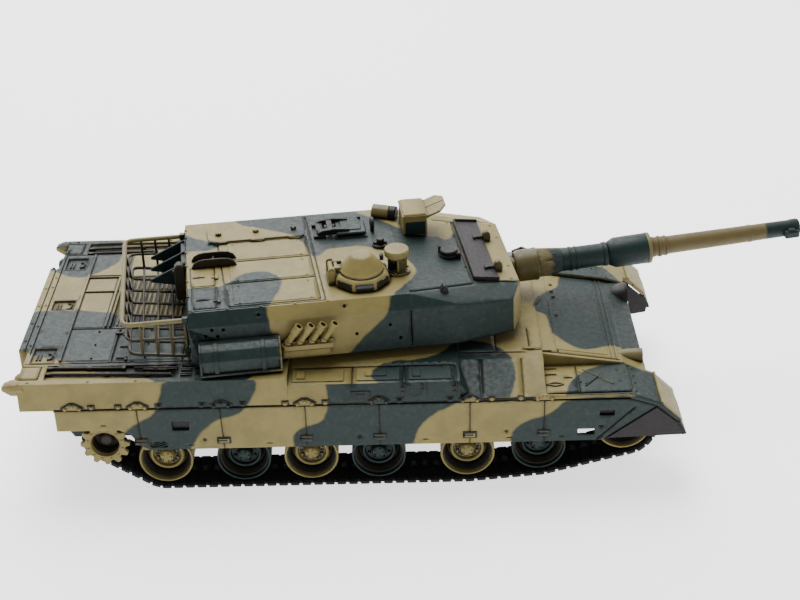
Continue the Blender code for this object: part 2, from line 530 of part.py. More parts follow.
def deck_hollows():
    """The inside of the deck: one bay over the tub and one over each track."""
    inner = TUB_HALF_WIDTH - TUB_WALL
    rear_roof, middle_roof = ENGINE_DECK_Z - SHELL_WALL, FIGHTING_DECK_Z - SHELL_WALL
    bay = prism(
        [
            (HULL_REAR_X + SHELL_WALL, BAY_FLOOR_Z), (HULL_REAR_X + SHELL_WALL, rear_roof),
            (DECK_STEP_X - SHELL_WALL, rear_roof), (DECK_STEP_X - SHELL_WALL, middle_roof),
        ] + FRONT_BAY_LINE,
        "Y", -inner, inner,
    )
    found = [bay]
    for side in SIDES.values():
        near, far = sorted((side * TUB_HALF_WIDTH, side * TRACK_BAY_Y))
        rear_x, step_x = REAR_SHOULDER_X + SHELL_WALL, DECK_STEP_X - SHELL_WALL
        end_x = SPONSON_END_X - SHELL_WALL - OVERLAP
        found.append(block((rear_x, near, BAY_FLOOR_Z), (step_x, far, rear_roof)))
        found.append(block((step_x - OVERLAP, near, BAY_FLOOR_Z), (end_x, far, middle_roof)))
        near, far = sorted((side * TUB_HALF_WIDTH, side * FRONT_BAY_Y))
        found.append(block(
            (end_x - OVERLAP, near, BAY_FLOOR_Z), (FENDER_X - SHELL_WALL, far, FRONT_BAY_ROOF_Z),
        ))
    return found


def side_skirt(parent, name, side):
    near, far = sorted((side * (SKIRT_OUTER_Y - SKIRT_WALL), side * SKIRT_OUTER_Y))
    cuts = []
    for rear, front, bottom, top in SKIRT_HOLES:
        cuts.append(block((rear, near - OVERLAP, bottom), (front, far + OVERLAP, top)))
    shape = cut_and_joined([prism(SKIRT_SIDE, "Y", near, far)], cuts)
    node(f"side_skirt_{name}", shape, SAND, parent)


def mudflap(parent, name, side):
    """A rubber flap that hangs under the front mudguard and turns back along both its sides."""
    near, far = sorted((side * (SKIRT_OUTER_Y - SKIRT_WALL), side * SKIRT_OUTER_Y))
    cheek = prism(FLAP_CHEEK_SIDE, "Y", near, far)
    near, far = sorted((side * CENTRE_HALF_WIDTH, side * SKIRT_OUTER_Y))
    apron = prism(FLAP_APRON_SIDE, "Y", near, far)
    near, far = sorted((side * CENTRE_HALF_WIDTH, side * (CENTRE_HALF_WIDTH + SKIRT_WALL)))
    shape = cut_and_joined([cheek, apron, prism(FLAP_INNER_SIDE, "Y", near, far)])
    node(f"front_mudflap_{name}", shape, FLAP_BROWN, parent, roughness=0.8)


# Running gear ---------------------------------------------------------------------------------


def belt_outline(stand_off):
    """The loop drawn round the sprocket, the road wheels and the idler, this far from each."""
    rollers = [(SPROCKET_X, SPROCKET_Z, SPROCKET_DRUM_RADIUS), (IDLER_X, IDLER_Z, IDLER_RADIUS)]
    rollers += [(x, z, WHEEL_RADIUS) for x, z in zip(WHEEL_X, WHEEL_Z)]
    points = []
    for x, z, radius in rollers:
        for i in range(BELT_STEPS):
            angle = math.tau * i / BELT_STEPS
            reach = radius + stand_off
            points.append((round(x + reach * math.cos(angle), 4), round(z + reach * math.sin(angle), 4)))
    return around(sorted(set(points)))


def around(points):
    """The points on the outside of a sorted set, anticlockwise."""
    loop = []
    for run in (points, points[::-1]):
        half = []
        for p in run:
            while len(half) > 1 and turn_of(half[-2], half[-1], p) <= 0:
                half.pop()
            half.append(p)
        loop += half[:-1]
    return loop


def turn_of(a, b, c):
    return (b[0] - a[0]) * (c[1] - a[1]) - (b[1] - a[1]) * (c[0] - a[0])


def track(parent, name, side):
    near, far = sorted((side * TRACK_INNER_Y, side * TRACK_OUTER_Y))
    outer = prism(belt_outline(GAP + TRACK_THICKNESS), "Y", near, far)
    inner = prism(belt_outline(GAP), "Y", near - OVERLAP, far + OVERLAP)
    shape = cut_and_joined([outer], [inner])
    node(f"track_{name}", shape, BLACK, parent, roughness=0.75)


def wheel_profile(side, bore, bore_end):
    """Inner disc, groove for the track's guide horns, outer disc with a dished face and a hub."""
    inner, outer = WHEEL_INNER_Y, WHEEL_OUTER_Y
    groove_start = inner + WHEEL_DISC_WIDTH
    groove_end = groove_start + WHEEL_GROOVE_WIDTH
    profile = [
        (bore_end, 0), (bore_end, bore), (inner, bore), (inner, WHEEL_RADIUS), (groove_start, WHEEL_RADIUS),
        (groove_start, WHEEL_GROOVE_RADIUS), (groove_end, WHEEL_GROOVE_RADIUS), (groove_end, WHEEL_RADIUS),
        (outer, WHEEL_RADIUS), (outer, WHEEL_RIM_RADIUS), (outer - WHEEL_DISH_DEPTH, WHEEL_DISH_RADIUS),
        (outer - WHEEL_HUB_DEPTH, WHEEL_HUB_RADIUS), (outer - WHEEL_HUB_DEPTH, 0),
    ]
    return [(side * along, radius) for along, radius in profile]


def road_wheel(parent, name, side, x, z, colour):
    profile = wheel_profile(side, AXLE_RADIUS + GAP, AXLE_END_Y + GAP)
    shape = turned(profile, "Y", (x, 0, z), WHEEL_STEPS)
    node(name, shape, colour, parent, (x, side * WHEEL_OUTER_Y, z))


def swing_arm(parent, name, side, x, z):
    """A trailing arm with its pivot pin in the tub's wall and its axle in the road wheel."""
    pivot = (x + ARM_LEAD, ARM_PIVOT_Z)
    plates = []
    for centre, radius in ((pivot, ARM_EYE_RADIUS), ((x, z), ARM_TIP_RADIUS)):
        for i in range(PIN_STEPS):
            angle = math.tau * i / PIN_STEPS
            plates.append((centre[0] + radius * math.cos(angle), centre[1] + radius * math.sin(angle)))
    near, far = sorted((side * ARM_INNER_Y, side * ARM_OUTER_Y))
    plate = prism(around(sorted(plates)), "Y", near, far)
    axle = sorted((side * (ARM_INNER_Y + OVERLAP), side * AXLE_END_Y))
    pin = sorted((side * (TUB_HALF_WIDTH - TUB_WALL), side * (ARM_OUTER_Y - OVERLAP)))
    adds = [
        plate,
        cylinder(AXLE_RADIUS, "Y", *axle, (x, 0, z), SHAFT_STEPS),
        cylinder(PIVOT_RADIUS, "Y", *pin, (pivot[0], 0, pivot[1]), SHAFT_STEPS),
    ]
    place = (pivot[0], side * ARM_INNER_Y, pivot[1])
    node(name, cut_and_joined(adds), BLACK, parent, place)


def sprocket(parent, name, side):
    """A drum that carries the track, with a toothed ring at its outer end and an axle at the inner."""
    outline = []
    for i in range(SPROCKET_TEETH):
        for share, depth in ((-TOOTH_HALF_SHARE, 0), (TOOTH_HALF_SHARE, 0), (0.5, SPROCKET_TOOTH_DEPTH)):
            angle = math.tau * (i + share) / SPROCKET_TEETH
            radius = SPROCKET_RADIUS - depth
            outline.append((SPROCKET_X + radius * math.cos(angle), SPROCKET_Z + radius * math.sin(angle)))
    centre = (SPROCKET_X, 0, SPROCKET_Z)
    ring_inner = TRACK_OUTER_Y + GAP
    ring_outer = ring_inner + SPROCKET_RING_THICKNESS
    dish = ring_outer - SPROCKET_DISH_DEPTH
    drum = sorted((side * WHEEL_INNER_Y, side * ring_outer))
    adds = [cylinder(SPROCKET_DRUM_RADIUS, "Y", *drum, centre, WHEEL_STEPS)]
    ring = sorted((side * ring_inner, side * (ring_outer - SPROCKET_RING_INSET)))
    adds.append(prism(outline, "Y", *ring))
    axle = sorted((side * SPROCKET_AXLE_START_Y, side * SPROCKET_AXLE_END_Y))
    adds.append(cylinder(IDLER_AXLE_RADIUS, "Y", *axle, centre, PIN_STEPS))
    outside = ring_outer + OVERLAP
    hollow = [(dish, 0), (dish, SPROCKET_DISH_FLOOR_RADIUS), (outside, SPROCKET_DISH_RADIUS), (outside, 0)]
    cut = turned([(side * along, radius) for along, radius in hollow], "Y", centre, WHEEL_STEPS)
    place = (SPROCKET_X, side * WHEEL_OUTER_Y, SPROCKET_Z)
    node(f"drive_sprocket_{name}", cut_and_joined(adds, [cut]), SAND, parent, place)


def idler(parent, name, side):
    profile = wheel_profile(side, IDLER_AXLE_RADIUS + GAP, IDLER_BORE_END_Y)
    shape = turned(profile, "Y", (IDLER_X, 0, IDLER_Z), WHEEL_STEPS)
    node(f"idler_wheel_{name}", shape, SAND, parent, (IDLER_X, side * WHEEL_OUTER_Y, IDLER_Z))


# Inside the hull ------------------------------------------------------------------------------


def battery_pack(parent):
    """Three rows of cells side by side in a shrink sleeve, as one solid."""
    adds = [block(*SLEEVE)]
    for i, y in enumerate(CELL_Y):
        start = CELL_REAR_X + CELL_STAGGER * i
        adds.append(cylinder(CELL_RADIUS, "X", start, CELL_FRONT_X, (0, y, CELL_Z), PIN_STEPS))
    node("battery_pack", cut_and_joined(adds), CELL_BLUE, parent)


def circuit_board(parent):
    components = [block(*corners) for corners in BOARD_COMPONENTS]
    node("main_circuit_board", cut_and_joined([block(*BOARD)] + components), BOARD_GREEN, parent)


def drive(parent, name, side):
    near, far = sorted((side * GEARBOX_INNER_Y, side * GEARBOX_OUTER_Y))
    case = block((GEARBOX_REAR_X, near, GEARBOX_LOW_Z), (GEARBOX_FRONT_X, far, GEARBOX_HIGH_Z))
    near, far = sorted((side * GEARBOX_BORE_INNER_Y, side * GEARBOX_BORE_OUTER_Y))
    bore = cylinder(IDLER_AXLE_RADIUS + GAP, "Y", near, far, (SPROCKET_X, 0, SPROCKET_Z), PIN_STEPS)
    node(f"gearbox_{name}", cut_and_joined([case], [bore]), NYLON, parent)
    can = turned(DRIVE_MOTOR_PROFILE, "X", (0, side * DRIVE_MOTOR_Y, DRIVE_MOTOR_Z), CAN_STEPS)
    node(f"drive_motor_{name}", can, STEEL, parent, roughness=0.35, metallic=1.0)


def power_switch(parent):
    shape = cut_and_joined([block(*SWITCH_SLIDER), block(*SWITCH_KNOB)])
    node("power_switch", shape, BLACK, parent, (SWITCH_X, 0, TUB_FLOOR_Z))


def traverse_drive(parent):
    axis = (PINION_X, 0, 0)
    can = turned(TRAVERSE_CAN_PROFILE, "Z", axis, CAN_STEPS)
    bore = cylinder(TRAVERSE_BORE_RADIUS, "Z", TRAVERSE_BORE_LOW_Z, TRAVERSE_BORE_HIGH_Z, axis, SHAFT_STEPS)
    post = block(
        (PINION_X - POST_HALF_LENGTH, POST_INNER_Y, POST_LOW_Z),
        (PINION_X + POST_HALF_LENGTH, POST_OUTER_Y, POST_HIGH_Z),
    )
    board_room = block(
        (PINION_X - BOARD_ROOM_HALF_LENGTH, BOARD_ROOM_RIGHT_Y, BOARD_ROOM_LOW_Z),
        (PINION_X + BOARD_ROOM_HALF_LENGTH, BOARD_ROOM_LEFT_Y, BOARD_ROOM_HIGH_Z),
    )
    shape = cut_and_joined([can, post], [bore, board_room])
    node("traverse_motor", shape, STEEL, parent, roughness=0.35, metallic=1.0)
    outline = gear_outline(PINION_TEETH, (PINION_X, 0), math.pi + math.pi / PINION_TEETH)
    teeth = prism(outline, "Z", PINION_LOW_Z, PINION_HIGH_Z)
    shaft = cylinder(PINION_SHAFT_RADIUS, "Z", PINION_SHAFT_LOW_Z, PINION_SHAFT_HIGH_Z, axis, SHAFT_STEPS)
    node("traverse_pinion", cut_and_joined([teeth, shaft]), NYLON, parent, (PINION_X, 0, FIGHTING_DECK_Z))


# Turret ---------------------------------------------------------------------------------------


def turret_hollow():
    """The same corners drawn in by the wall, and run down through the open floor."""
    found = []
    middle = (TURRET_REAR_X + NOSE_ROOF_X) / 2
    length = NOSE_ROOF_X - TURRET_REAR_X
    for x, y, z in TURRET_CORNERS:
        inner_x = middle + (x - middle) * (1 - 2 * TURRET_WALL / length)
        low = TURRET_FLOOR_Z - OVERLAP if z == TURRET_FLOOR_Z else z - TURRET_WALL
        found.append((inner_x, y - TURRET_WALL * SIDE_WALL_SHARE, low))
    return found


def both_sides(points):
    return [(x, side * y, z) for x, y, z in points for side in SIDES.values()]


def turret_shell(parent):
    adds = [hull_of(both_sides(TURRET_CORNERS))]
    cuts = [hull_of(both_sides(turret_hollow()))]
    for side in SIDES.values():
        section = [(side * y, z) for y, z in STOWAGE_SECTION]
        adds.append(prism(section, "X", STOWAGE_REAR_X, STOWAGE_FRONT_X))
    adds.append(block(*GUNNER_BRACKET))
    cuts += [hatch_hole(), block(*GUNNER_HOLE), block(*GUN_SLOT)]
    node("turret_shell", cut_and_joined(adds, cuts), SAND, parent)


def hatch_hole():
    centre = (CUPOLA_X, CUPOLA_Y, 0)
    return cylinder(HATCH_HOLE_RADIUS, "Z", ROOF_CUT_LOW_Z, ROOF_CUT_HIGH_Z, centre, CAN_STEPS)


def turret_base(parent):
    """The floor of the turret, with its ring gear, its spigot and the gun's two bearing posts."""
    floor = prism(mirrored(BASE_PLAN), "Z", BASE_LOW_Z, BASE_HIGH_Z)
    ring = prism(gear_outline(RING_TEETH), "Z", RING_LOW_Z, TURRET_FLOOR_Z + OVERLAP)
    spigot = cylinder(SPIGOT_RADIUS, "Z", SPIGOT_LOW_Z, SPIGOT_HIGH_Z, steps=RING_STEPS)
    adds = [floor, ring, spigot]
    bore = SPIGOT_RADIUS - SPIGOT_WALL
    cuts = [cylinder(bore, "Z", DECK_CUT_LOW_Z, DECK_CUT_HIGH_Z, steps=RING_STEPS), block(*NECK_ROOM)]
    trunnion = (TRUNNION_X, 0, TRUNNION_Z)
    for side in SIDES.values():
        near, far = sorted((side * BEARING_INNER_Y, side * BEARING_OUTER_Y))
        adds.append(block(
            (TRUNNION_X - BEARING_HALF_LENGTH, near, BEARING_LOW_Z),
            (TRUNNION_X + BEARING_HALF_LENGTH, far, BEARING_HIGH_Z),
        ))
        reach = (near - OVERLAP, far + OVERLAP)
        cuts.append(cylinder(TRUNNION_RADIUS + GAP, "Y", *reach, trunnion, BEARING_STEPS))
    node("turret_base", cut_and_joined(adds, cuts), GREEN, parent)


def elevation_motor(parent):
    can = cylinder(
        ELEVATION_CAN_RADIUS, "Y", ELEVATION_CAN_START_Y, ELEVATION_CAN_END_Y,
        (ELEVATION_CAN_X, 0, ELEVATION_CAN_Z), BEARING_STEPS,
    )
    shape = cut_and_joined([block(*ELEVATION_CASE), can])
    node("elevation_motor", shape, STEEL, parent, roughness=0.35, metallic=1.0)


def commander_cupola(parent):
    foot = ROOF_Z + GAP
    profile = [(foot, CUPOLA_FOOT_RADIUS), (CUPOLA_TOP_Z, CUPOLA_TOP_RADIUS)]
    adds = [turned(profile, "Z", (CUPOLA_X, CUPOLA_Y, 0), CUPOLA_SIDES, math.pi / CUPOLA_SIDES)]
    for y in (HINGE_PLATE_RIGHT_Y, HINGE_PLATE_LEFT_Y):
        end = (HINGE_PLATE_FRONT_X, y + HINGE_PLATE_THICKNESS, HINGE_PLATE_TOP_Z)
        adds.append(block((HINGE_PLATE_REAR_X, y, foot), end))
    adds.append(block(
        (HINGE_PLATE_REAR_X, HINGE_PLATE_RIGHT_Y, foot),
        (HINGE_FOOT_FRONT_X, HINGE_PLATE_LEFT_Y + HINGE_PLATE_THICKNESS, HINGE_FOOT_TOP_Z),
    ))
    node("commander_cupola", cut_and_joined(adds, [hatch_hole()]), SAND, parent)


def commander_hatch(parent):
    dome = turned(DOME_PROFILE, "Z", (CUPOLA_X, CUPOLA_Y, 0), TUBE_STEPS)
    lug = block(
        (CUPOLA_HINGE_X, HATCH_LUG_RIGHT_Y, HATCH_LUG_LOW_Z),
        (HATCH_LUG_FRONT_X, HATCH_LUG_LEFT_Y, HATCH_LUG_HIGH_Z),
    )
    hinge = (CUPOLA_HINGE_X, 0, CUPOLA_HINGE_Z)
    pin = cylinder(HATCH_PIN_RADIUS, "Y", HATCH_PIN_RIGHT_Y, HATCH_PIN_LEFT_Y, hinge, PIN_STEPS)
    shape = cut_and_joined([dome, lug, pin], [block(*HATCH_TRIM)])
    node("commander_hatch", shape, SAND, parent, (CUPOLA_HINGE_X, CUPOLA_Y, CUPOLA_HINGE_Z))


def gunner_hatch(parent):
    adds = [block(*GUNNER_LID)]
    hinge = (GUNNER_HINGE_X, 0, GUNNER_HINGE_Z)
    for y in GUNNER_ARM_Y:
        end = y + GUNNER_ARM_WIDTH
        adds.append(cylinder(HATCH_PIN_RADIUS, "Y", y, end, hinge, PIN_STEPS))
        arm_end = (GUNNER_ARM_FRONT_X, end, GUNNER_ARM_HIGH_Z)
        adds.append(block((GUNNER_HINGE_X, y, GUNNER_ARM_LOW_Z), arm_end))
    place = (GUNNER_HINGE_X, GUNNER_HINGE_Y, GUNNER_HINGE_Z)
    node("gunner_hatch", cut_and_joined(adds), GREEN, parent, place)


def sights(parent):
    sight = turned(PANORAMIC_PROFILE, "Z", (PANORAMIC_X, PANORAMIC_Y, 0), TUBE_STEPS)
    node("panoramic_sight", sight, SAND, parent)
    body = prism(SIGHT_BOX_SIDE, "Y", SIGHT_BOX_RIGHT_Y, SIGHT_BOX_LEFT_Y)
    shutters = [prism(SHUTTER_SIDE, "Y", y, y + SHUTTER_WIDTH) for y in SHUTTER_Y]
    node("gunner_sight_box", cut_and_joined([body] + shutters), SAND, parent)


def smoke_launcher(parent, name, side):
    near, far = sorted((side * SMOKE_LEDGE_INNER_Y, side * SMOKE_LEDGE_OUTER_Y))
    adds = [block(
        (SMOKE_LEDGE_REAR_X, near, SMOKE_LEDGE_LOW_Z), (SMOKE_LEDGE_FRONT_X, far, SMOKE_LEDGE_HIGH_Z),
    )]
    lean_x, lean_y, lean_z = SMOKE_TUBE_LEAN
    for i in range(SMOKE_TUBES):
        base = Vector((SMOKE_TUBE_X + SMOKE_TUBE_PITCH * i, side * SMOKE_TUBE_Y, SMOKE_TUBE_Z))
        tip = base + Vector((lean_x, side * lean_y, lean_z))
        adds.append(bar(base, tip, SMOKE_TUBE_RADIUS, SMOKE_TUBE_SIDES))
    node(f"smoke_launcher_{name}", cut_and_joined(adds), SAND, parent)


def bustle_basket(parent):
    """Welded bars behind the turret: a floor, two sides and a back, open on top."""
    front, back, half, top = BASKET_FRONT_X, BASKET_BACK_X, BASKET_HALF_WIDTH, BASKET_TOP_Z
    low_front, low_back, low_x = BASKET_FLOOR_FRONT_Z, BASKET_FLOOR_BACK_Z, BASKET_FLOOR_BACK_X
    middle_x, middle_z = BASKET_MIDDLE_BACK_X, BASKET_MIDDLE_BACK_Z
    bars = []
    for side in SIDES.values():
        y = side * half
        bars.append(((front, y, top), (back, y, top), RAIL_RADIUS))
        bars.append(((front, y, BASKET_MIDDLE_FRONT_Z), (middle_x, y, middle_z), FLOOR_BAR_RADIUS))
        bars.append(((front, y, low_front), (low_x, y, low_back), RAIL_RADIUS))
        bars.append(((front, y, low_front), (front, y, top), UPRIGHT_RADIUS))
        bars.append(((BASKET_POST_X, y, BASKET_POST_Z), (BASKET_POST_X, y, top), UPRIGHT_RADIUS))
    bars.append(((back, -half, top), (back, half, top), RAIL_RADIUS))
    bars.append(((middle_x, -half, middle_z), (middle_x, half, middle_z), BACK_BAR_RADIUS))
    bars.append(((low_x, -half, low_back), (low_x, half, low_back), BACK_BAR_RADIUS))
    for i in range(BASKET_SPACES + 1):
        y = -half + 2 * half * i / BASKET_SPACES
        bars.append(((back, y, top), (low_x, y, low_back), UPRIGHT_RADIUS))
        if 0 < i < BASKET_SPACES:
            bars.append(((front, y, low_front), (low_x, y, low_back), FLOOR_BAR_RADIUS))
    cross = (BASKET_CROSS_X, half, BASKET_CROSS_Z)
    bars.append(((BASKET_CROSS_X, -half, BASKET_CROSS_Z), cross, CROSS_BAR_RADIUS))
    bars.append(((front, -half, low_front), (front, half, low_front), FRONT_BAR_RADIUS))
    shape = cut_and_joined([bar(a, b, radius, phase=BAR_TWIST * i) for i, (a, b, radius) in enumerate(bars)])
    node("bustle_basket", shape, OLIVE, parent)


# Gun ------------------------------------------------------------------------------------------


def gun_mantlet(parent):
    """The trunnion block inside the turret, the neck through its slot and the collar outside."""
    pins = cylinder(TRUNNION_RADIUS, "Y", -TRUNNION_HALF_LENGTH, TRUNNION_HALF_LENGTH, steps=BEARING_STEPS)
    cradle = cylinder(CRADLE_RADIUS, "Y", -CRADLE_HALF_LENGTH, CRADLE_HALF_LENGTH, steps=BEARING_STEPS)
    tube = turned(MANTLET_PROFILE, "X", steps=TUBE_STEPS)
    node("gun_mantlet", cut_and_joined([cradle, pins, tube]), OLIVE, parent)


def gun_barrel(parent):
    tube = turned(
        [
            (SLEEVE_START, 0), (SLEEVE_START, SLEEVE_RADIUS), (SLEEVE_END, SLEEVE_RADIUS),
            (SLEEVE_END, BARREL_RADIUS), (MUZZLE_X, MUZZLE_RADIUS), (MUZZLE_X, MUZZLE_BORE_RADIUS),
            (MUZZLE_X - MUZZLE_BORE_DEPTH, MUZZLE_BORE_RADIUS), (MUZZLE_X - MUZZLE_BORE_DEPTH, 0),
        ],
        "X", steps=TUBE_STEPS,
    )
    node("gun_barrel", cut_and_joined([tube, block(*SENSOR)]), SAND, parent)


def fume_extractor(parent):
    middle = (EXTRACTOR_START + EXTRACTOR_END) / 2
    bore = BARREL_RADIUS + GAP
    sleeve = turned(
        [
            (EXTRACTOR_START, EXTRACTOR_REAR_RADIUS),
            (EXTRACTOR_START + EXTRACTOR_REAR_TAPER, EXTRACTOR_RADIUS),
            (middle, EXTRACTOR_RADIUS), (EXTRACTOR_END - EXTRACTOR_FRONT_TAPER, EXTRACTOR_RADIUS),
            (EXTRACTOR_END, EXTRACTOR_FRONT_RADIUS),
        ],
        "X", steps=TUBE_STEPS,
    )
    hole = cylinder(bore, "X", EXTRACTOR_START - OVERLAP, EXTRACTOR_END + OVERLAP, steps=TUBE_STEPS)
    node("fume_extractor", cut_and_joined([sleeve], [hole]), GREEN, parent)


# Whole model ----------------------------------------------------------------------------------


def model():
    hull = frame("hull_frame")
    lower_hull(hull)
    battery_cover(hull)
    upper_hull(hull)
    battery_pack(hull)
    circuit_board(hull)
    power_switch(hull)
    traverse_drive(hull)
    for name, side in SIDES.items():
        side_skirt(hull, name, side)
        mudflap(hull, name, side)
        track(hull, name, side)
        drive(hull, name, side)
        sprocket(hull, name, side)
        idler(hull, name, side)
        for i, (x, z) in enumerate(zip(WHEEL_X, WHEEL_Z)):
            swing_arm(hull, f"swing_arm_{name}_{i + 1}", side, x, z)
            road_wheel(hull, f"road_wheel_{name}_{i + 1}", side, x, z, GREEN if i % 2 else SAND)
    turret = frame("turret_frame", hull, (TURRET_X, 0, 0), (0, 0, TURRET_YAW))
    turret_shell(turret)
    turret_base(turret)
    elevation_motor(turret)
    commander_cupola(turret)
    commander_hatch(turret)
    gunner_hatch(turret)
    sights(turret)
    bustle_basket(turret)
    for name, side in SIDES.items():
        smoke_launcher(turret, name, side)
    gun = frame("gun_frame", turret, (TRUNNION_X, 0, TRUNNION_Z), (0, -GUN_ELEVATION, 0))
    gun_mantlet(gun)
    gun_barrel(gun)
    fume_extractor(gun)
    centre_footprint(hull)


def centre_footprint(hull):
    """Moves the whole model so that the origin is under the middle of its box."""
    bpy.context.view_layer.update()
    spread = []
    for thing in bpy.context.scene.objects:
        if thing.type == "MESH":
            spread += [(thing.matrix_world @ vertex.co).x for vertex in thing.data.vertices]
    hull.location.x -= (min(spread) + max(spread)) / 2


for leftover in list(bpy.context.scene.objects):
    bpy.data.objects.remove(leftover)
model()
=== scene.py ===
"""Looks of the radio-controlled tank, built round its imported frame.

Shapes are written in millimetres in three frames: the hull's (X forward from its middle, Z up
from the ground), the turret's (on its turning axis, X along the gun) and the gun's (on its
trunnion, X along the barrel). Each piece is then set in the row frame and rides on its body.
"""

import json
import math

import bmesh
import bpy
import numpy as np
from mathutils import Matrix, Vector, noise

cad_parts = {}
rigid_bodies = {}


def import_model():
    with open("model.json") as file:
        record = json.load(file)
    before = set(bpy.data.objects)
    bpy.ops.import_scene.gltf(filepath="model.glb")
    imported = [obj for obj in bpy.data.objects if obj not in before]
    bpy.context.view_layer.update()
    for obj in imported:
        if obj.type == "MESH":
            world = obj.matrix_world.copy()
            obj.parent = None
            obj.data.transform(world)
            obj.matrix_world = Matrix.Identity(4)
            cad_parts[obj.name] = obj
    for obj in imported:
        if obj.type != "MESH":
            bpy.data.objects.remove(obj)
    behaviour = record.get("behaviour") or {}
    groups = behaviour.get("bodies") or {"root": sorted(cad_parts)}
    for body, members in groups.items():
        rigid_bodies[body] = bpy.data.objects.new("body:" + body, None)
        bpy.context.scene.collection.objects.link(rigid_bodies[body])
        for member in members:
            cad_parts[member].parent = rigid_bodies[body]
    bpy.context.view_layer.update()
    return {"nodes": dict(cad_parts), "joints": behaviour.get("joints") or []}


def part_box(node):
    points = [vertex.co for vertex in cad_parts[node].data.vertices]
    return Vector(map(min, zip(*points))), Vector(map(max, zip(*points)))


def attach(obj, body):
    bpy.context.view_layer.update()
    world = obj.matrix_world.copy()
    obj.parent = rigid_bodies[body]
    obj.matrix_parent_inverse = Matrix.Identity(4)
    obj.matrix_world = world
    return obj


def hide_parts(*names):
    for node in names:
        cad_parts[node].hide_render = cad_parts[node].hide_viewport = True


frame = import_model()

MM = 0.001
RIGHT, LEFT = -1, 1
SIDES = {"right": RIGHT, "left": LEFT}
TUB_REAR_X = -151.0
DECK_Z, ENGINE_Z, FENDER_Z = 61.0, 64.4, 52.0
SKIRT_Y = 71.5
WHEEL_X = (-88.9, -51.5, -19.2, 13.1, 55.6, 89.5)
WHEEL_Z = (16.5, 16.5, 16.5, 16.5, 16.5, 19.5)
WHEEL_RADIUS = 13.0
SPROCKET = (-116.0, 29.2, 11.7)
SPROCKET_DRUM = 8.2
IDLER = (129.5, 30.4, 13.0)
WHEEL_INNER, WHEEL_OUTER = 46.0, 65.0
TRACK_GAP, TRACK_THICKNESS = 0.3, 3.2
TRACK_OUTER = 67.0
ROOF_Z, ROOF_BREAK = 91.0, 30.0
ROOF_SLOPE = (84.3 - 91.0) / (85.5 - 30.0)
CUPOLA = (9.5, -27.0)
SIGHT = (27.2, -21.5)

joints = {joint["name"]: joint for joint in frame["joints"]}
gun_joint = joints["gun_elevation"]
yaw = math.atan2(gun_joint["axis"][0], -gun_joint["axis"][1])
elevation = -math.radians(gun_joint["range_deg"][0])
hull_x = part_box("lower_hull")[0].x - TUB_REAR_X * MM
TO_METRES = Matrix.Scale(MM, 4)
TURN = Matrix.Rotation(yaw, 4, "Z")
HULL = Matrix.Translation((hull_x, 0, 0)) @ TO_METRES
TURRET = Matrix.Translation(joints["turret_traverse"]["pos_m"]) @ TURN @ TO_METRES
GUN = Matrix.Translation(gun_joint["pos_m"]) @ TURN @ Matrix.Rotation(-elevation, 4, "Y") @ TO_METRES

SAND = (0.200, 0.162, 0.052)
GREEN = (0.0045, 0.0165, 0.0150)
OLIVE = (0.080, 0.064, 0.020)
BROWN = (0.022, 0.016, 0.008)


# Materials ------------------------------------------------------------------------------------

# How strong the paint's dust and its painted shade in the corners are, and how deep its orange peel is in
# metres.
DUST, CORNER_SHADE, PEEL_DEPTH = 0.10, 0.92, 0.000022
METAL_ROUGHNESS = 0.35


class Tree:
    """A material's nodes, added one call at a time."""

    def __init__(self, name):
        self.material = bpy.data.materials.new(name)
        self.material.use_nodes = True
        self.nodes = self.material.node_tree.nodes
        self.links = self.material.node_tree.links
        self.shader = self.nodes["Principled BSDF"]
        self.place = self.add("ShaderNodeTexCoord").outputs["Object"]

    def add(self, kind, inputs=None, **settings):
        made = self.nodes.new(kind)
        for key, value in settings.items():
            setattr(made, key, value)
        for key, value in (inputs or {}).items():
            if isinstance(value, bpy.types.NodeSocket):
                self.links.new(value, made.inputs[key])
            else:
                made.inputs[key].default_value = value
        return made

    def noise(self, scale, detail=3.0, roughness=0.55):
        inputs = {"Vector": self.place, "Scale": scale, "Detail": detail, "Roughness": roughness}
        return self.add("ShaderNodeTexNoise", inputs).outputs["Fac"]

    def ramp(self, value, low, high, start=0.0, end=1.0):
        inputs = {"Value": value, "From Min": low, "From Max": high, "To Min": start, "To Max": end}
        made = self.add("ShaderNodeMapRange", inputs, interpolation_type="SMOOTHSTEP")
        return made.outputs["Result"]

    def mix(self, share, a, b):
        made = self.add("ShaderNodeMix", data_type="RGBA")
        for index, value in ((0, share), (6, a), (7, b)):
            if isinstance(value, bpy.types.NodeSocket):
                self.links.new(value, made.inputs[index])
            else:
                made.inputs[index].default_value = (*value, 1) if index else value
        return made.outputs[2]

    def feed(self, socket, value):
        if isinstance(value, bpy.types.NodeSocket):
            self.links.new(value, self.shader.inputs[socket])
        else:
            self.shader.inputs[socket].default_value = value

    def bump(self, height, depth):
        inputs = {"Height": height, "Strength": 1.0, "Distance": depth}
        self.feed("Normal", self.add("ShaderNodeBump", inputs).outputs["Normal"])


